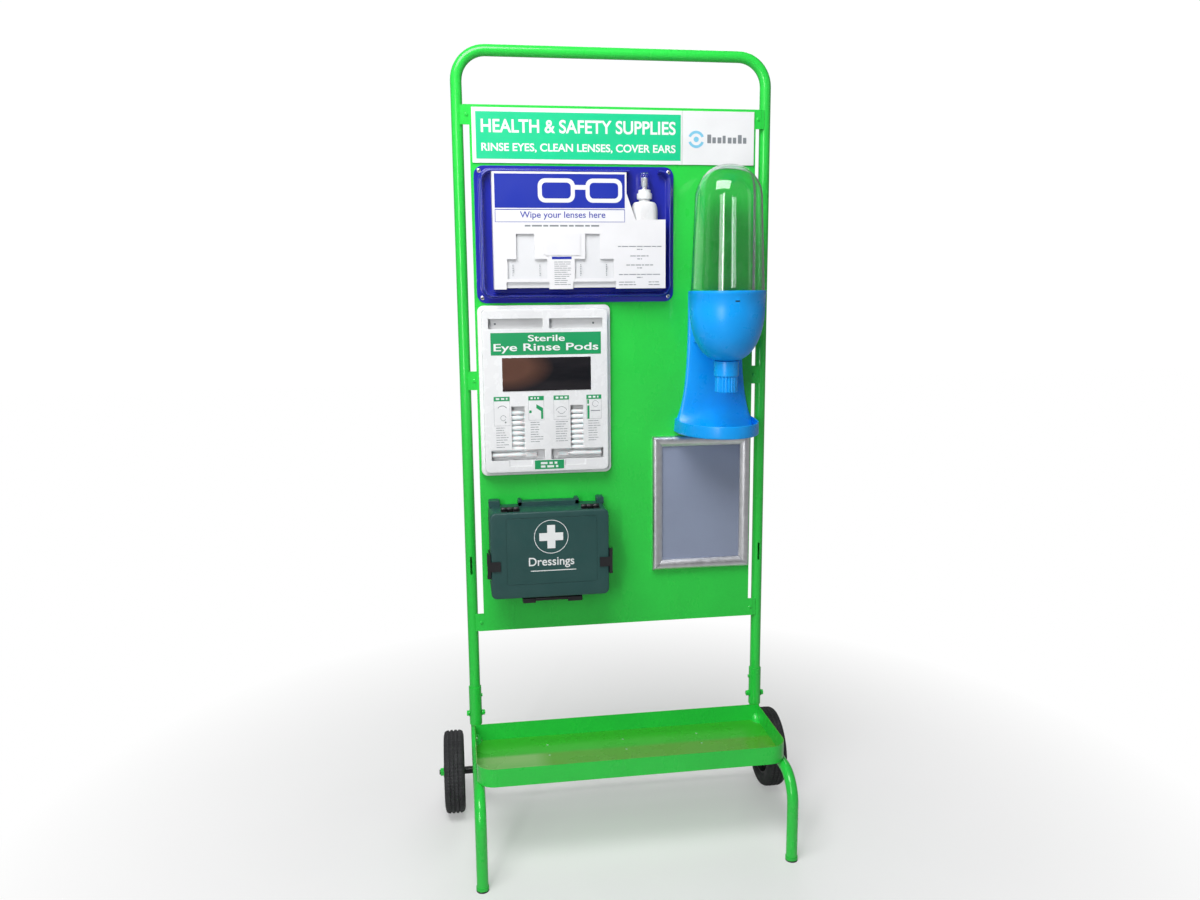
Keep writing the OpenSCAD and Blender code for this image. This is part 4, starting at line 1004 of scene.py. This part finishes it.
# Bowl: the wall's outer outline, then its inner one
bowl_z = neck_z + mm(116)
outer = [(cup_r - mm(0.8), rim_z), (cup_r, rim_z - mm(0.8)), (cup_r, rim_z - mm(8)),
         (cup_r - mm(0.7), rim_z - mm(9)), (cup_r - mm(2), bowl_z)]
dome_seat = mm(77)
inner = [(cup_r - mm(5), bowl_z), (dome_seat, rim_z - mm(10)), (dome_seat, rim_z - mm(6)),
         (cup_r - mm(3), rim_z - mm(6)), (cup_r - mm(3), rim_z - mm(0.8)), (cup_r - mm(2.4), rim_z)]
bowl_h = bowl_z - neck_z
for k in range(1, 15):
    cos, sin = math.cos(math.radians(6 * k)), math.sin(math.radians(6 * k))
    outer.append((mm(18) + (cup_r - mm(20)) * cos, bowl_z - bowl_h * sin))
    inner.insert(0, (mm(18) + (cup_r - mm(23)) * cos, bowl_z - (bowl_h - mm(3)) * sin))
outer += [(mm(18.1), neck_z), (mm(18.1), neck_z + mm(3))]
bm = bmesh.new()
lathe(bm, outer + inner, plug_axis, 128, wrap=True)
cup = add_mesh("dispenser_bowl", bm, "blue", "stand", "dispenser_blue", 40, ("dispenser_cup",))
bm = bmesh.new()
slot = (plug_x - mm(6), plug_x + mm(4), rim_z - mm(24), rim_z - mm(21))
bowl_front = plug_y - cup_r
slab(bm, box_outline(*slot), bowl_front - mm(4), bowl_front + mm(4))
cut(cup, bm)
# A black sheet set inside the slot is painted shade.
film("dispenser_slot_shade", [box_outline(*slot)], bowl_front + mm(2.0), "black", "stand", "dispenser_blue")

grip_z = KNOB[2] + mm(37)
knob_r = (KNOB[1] - KNOB[0]) / 2
bm = bmesh.new()
lathe(bm, ease([((mm(12), grip_z - mm(1)), 0), ((knob_r - mm(1), grip_z - mm(1)), 0),
                ((knob_r, grip_z + mm(1)), mm(1)), ((knob_r, neck_z - mm(1)), mm(1)),
                ((knob_r - mm(1.5), neck_z - mm(0.2)), mm(1)), ((mm(18), neck_z - mm(0.2)), 0),
                ((mm(17.9), KNOB[3]), 0), ((mm(12), KNOB[3]), 0)]), plug_axis, 96, wrap=True)
loops = []
for inset, z in ((14, KNOB[2] + mm(3)), (13, KNOB[2]), (1.4, KNOB[2]), (0.2, KNOB[2] + mm(1)),
                 (0, KNOB[2] + mm(2.5)), (0, grip_z - mm(0.8)), (1, grip_z), (14, grip_z)):
    groove = mm(2.0) if inset < 5 else 0
    loops.append(circle((*plug_axis, z), lambda k: knob_r - mm(2.4) - mm(inset)
                        - groove * max(0.0, 1 - abs((k % 8) - 4) / 1.6), 160))
skin(bm, loops, wrap=True)
add_mesh("dispenser_grip", bm, "blue", "knob", "dispenser_blue", 32, ("dispenser_knob",))

# Dome: a slightly tapered tube under a half sphere
dome_r = (DOME[1] - DOME[0]) / 2
crown_r = mm(75)
crown_z, foot_z, wall = DOME[3] - crown_r, DOME[2] + mm(2), mm(1.6)
outer = [(dome_r, DOME[2])]
outer += [(dome_r - (dome_r - crown_r) * k / 6, foot_z + (crown_z - foot_z) * k / 6) for k in range(6)]
outer += [(crown_r * math.cos(math.radians(a)), crown_z + crown_r * math.sin(math.radians(a)))
          for a in range(0, 88, 4)]
outer.append((mm(0.3), DOME[3]))
inner = [(max(r - wall, mm(0.3)), z if z < crown_z else crown_z + (z - crown_z) * (crown_r - wall) / crown_r)
         for r, z in reversed(outer)]
bm = bmesh.new()
lathe(bm, outer + inner, plug_axis, 128, wrap=True)
add_mesh("dome_clear_shell", bm, "dome", "dome", "clear_plastic", 60, ("dispenser_dome",))

# ---------------------------------------------------------------- snap frame

SNAP = span("snap_backing")
rail_w, rail_front = mm(25), span("snap_rail_top")[4]
rail_back = SNAP[4] - mm(0.8)
rise = rail_back - rail_front
section = ease([((0, 0), 0), ((0, rise * 0.55), mm(3)), ((mm(5), rise), mm(6)), ((mm(15), rise), mm(7)),
                ((rail_w, rise * 0.3), mm(2)), ((rail_w, 0), 0)], 6)
gap = mm(0.4)
for name in ("top", "bottom", "left", "right"):
    loops = []
    for end in (0, 1):
        ring = []
        for s, height in section:
            if name in ("top", "bottom"):
                x = SNAP[1] - s - gap if end else SNAP[0] + s + gap
                z = SNAP[3] - s if name == "top" else SNAP[2] + s
            else:
                x = SNAP[0] + s if name == "left" else SNAP[1] - s
                z = SNAP[3] - s - gap if end else SNAP[2] + s + gap
            ring.append(Vector((x, rail_back - height, z)))
        loops.append(ring)
    bm = bmesh.new()
    skin(bm, loops)
    add_mesh(f"rail_{name}_profile", bm, "rail", f"rail_{name}", "anodised", 50, (f"snap_rail_{name}",))

# ---------------------------------------------------------------- floor, light and camera


def square(name, size):
    bm = bmesh.new()
    bmesh.ops.create_grid(bm, x_segments=1, y_segments=1, size=size)
    return to_object(name, bm)


def stage():
    """Pale floor that fades into a white backdrop, so that no horizon shows."""
    floor = square("floor", 12)
    g = Graph("floor_pale")
    base = g.mix(g.ranged(g.noise(2, 3), 0, 1), (0.84, 0.84, 0.84), (0.88, 0.88, 0.88))
    mat = g.finish(base, 0.6)
    length = g.node("ShaderNodeVectorMath", operation="LENGTH")
    g.link(g.coords, length.inputs[0])
    fade = g.ranged(length.outputs["Value"], 0.3, 1.0, 0.4, 1.5)
    glow = g.node("ShaderNodeEmission")
    seen = g.node("ShaderNodeLightPath").outputs["Is Camera Ray"]
    g.link(g.ranged(seen, 0.3, 1.0, 0, 1), glow.inputs["Strength"])
    blend = g.node("ShaderNodeMixShader")
    g.link(fade, blend.inputs[0])
    g.link(g.bsdf.outputs[0], blend.inputs[1])
    g.link(glow.outputs[0], blend.inputs[2])
    g.link(blend.outputs[0], g.tree.nodes["Material Output"].inputs["Surface"])
    floor.data.materials.append(mat)
    world = bpy.data.worlds.new("studio")
    bpy.context.scene.world = world
    world.use_nodes = True
    tree = world.node_tree
    background = tree.nodes["Background"]
    background.inputs["Color"].default_value = (0.97, 0.98, 1.0, 1)
    seen = tree.nodes.new("ShaderNodeLightPath")
    strength = tree.nodes.new("ShaderNodeMapRange")
    strength.inputs["To Min"].default_value = 0.15
    strength.inputs["To Max"].default_value = 1.05
    tree.links.new(seen.outputs["Is Camera Ray"], strength.inputs["Value"])
    tree.links.new(strength.outputs["Result"], background.inputs["Strength"])


def area_light(name, place, aim, size, power):
    data = bpy.data.lights.new(name, "AREA")
    data.shape = "RECTANGLE"
    data.size, data.size_y = size
    data.energy = power
    made = to_scene(name, data)
    made.location = place
    made.rotation_euler = (Vector(aim) - Vector(place)).to_track_quat("-Z", "Y").to_euler()


def dark_room():
    """A dark cloth behind the camera that only mirrors and gloss can see."""
    cloth = square("dark_cloth", 0.5)
    cloth.location = (0.06, -2.5, 0.86)
    cloth.rotation_euler = (math.radians(90), 0, 0)
    cloth.scale = (0.62, 0.30, 1)
    g = Graph("dark_cloth")
    folds = g.mix(g.ranged(g.noise(2.2, 4, 0.6, (0.4, 1, 1)), 0, 1, 0.35, 0.7), (0.006, 0.007, 0.014),
                  (0.05, 0.042, 0.05))
    from_hand = g.node("ShaderNodeVectorMath", operation="DISTANCE")
    from_hand.inputs[1].default_value = (-0.32, 0.22, 0)
    g.link(g.coords, from_hand.inputs[0])
    warm = g.ranged(from_hand.outputs["Value"], 0.8, 0, 0.2, 0.4)
    cloth.data.materials.append(g.finish(g.mix(warm, folds, (0.34, 0.15, 0.10)), 0.9))
    cloth.visible_camera = cloth.visible_diffuse = cloth.visible_shadow = cloth.visible_transmission = False


def camera():
    """Standing height, a little left of the stand, tilted down slightly."""
    data = bpy.data.cameras.new("view")
    data.sensor_width = 36.0
    data.lens = 28.83
    made = to_scene("view", data)
    turn, tilt, roll = math.radians(-8.55), math.radians(-9.36), math.radians(-0.52)
    ahead = Vector((-math.sin(turn) * math.cos(tilt), math.cos(turn) * math.cos(tilt), math.sin(tilt)))
    right = ahead.cross(Vector((0, 0, 1))).normalized()
    up = right.cross(ahead)
    turned_right = right * math.cos(roll) + up * math.sin(roll)
    turned_up = up * math.cos(roll) - right * math.sin(roll)
    place = (-0.3752, UPRIGHT_Y - 2.2307, 1.2905)
    made.matrix_world = Matrix([(turned_right[i], turned_up[i], -ahead[i], place[i]) for i in range(3)]
                               + [(0, 0, 0, 1)])
    bpy.context.scene.camera = made


stage()
area_light("window", (-1.6, -2.6, 1.5), (0.2, 0, 1.3), (0.9, 1.3), 17)
area_light("window_strip", (-1.15, -2.3, 1.45), (0.1, 0, 1.3), (0.1, 1.5), 11)
area_light("ceiling", (-0.8, -1.3, 3.05), (0, 0, 1.75), (1.8, 1.2), 66)
area_light("fill", (2.6, -1.6, 1.6), (0, 0, 0.9), (0.6, 2.0), 2.0)
area_light("back", (0.5, 2.6, 3.0), (0, 0, 1.0), (2.0, 1.5), 24)
dark_room()
camera()
bpy.context.scene.view_settings.view_transform = "Standard"
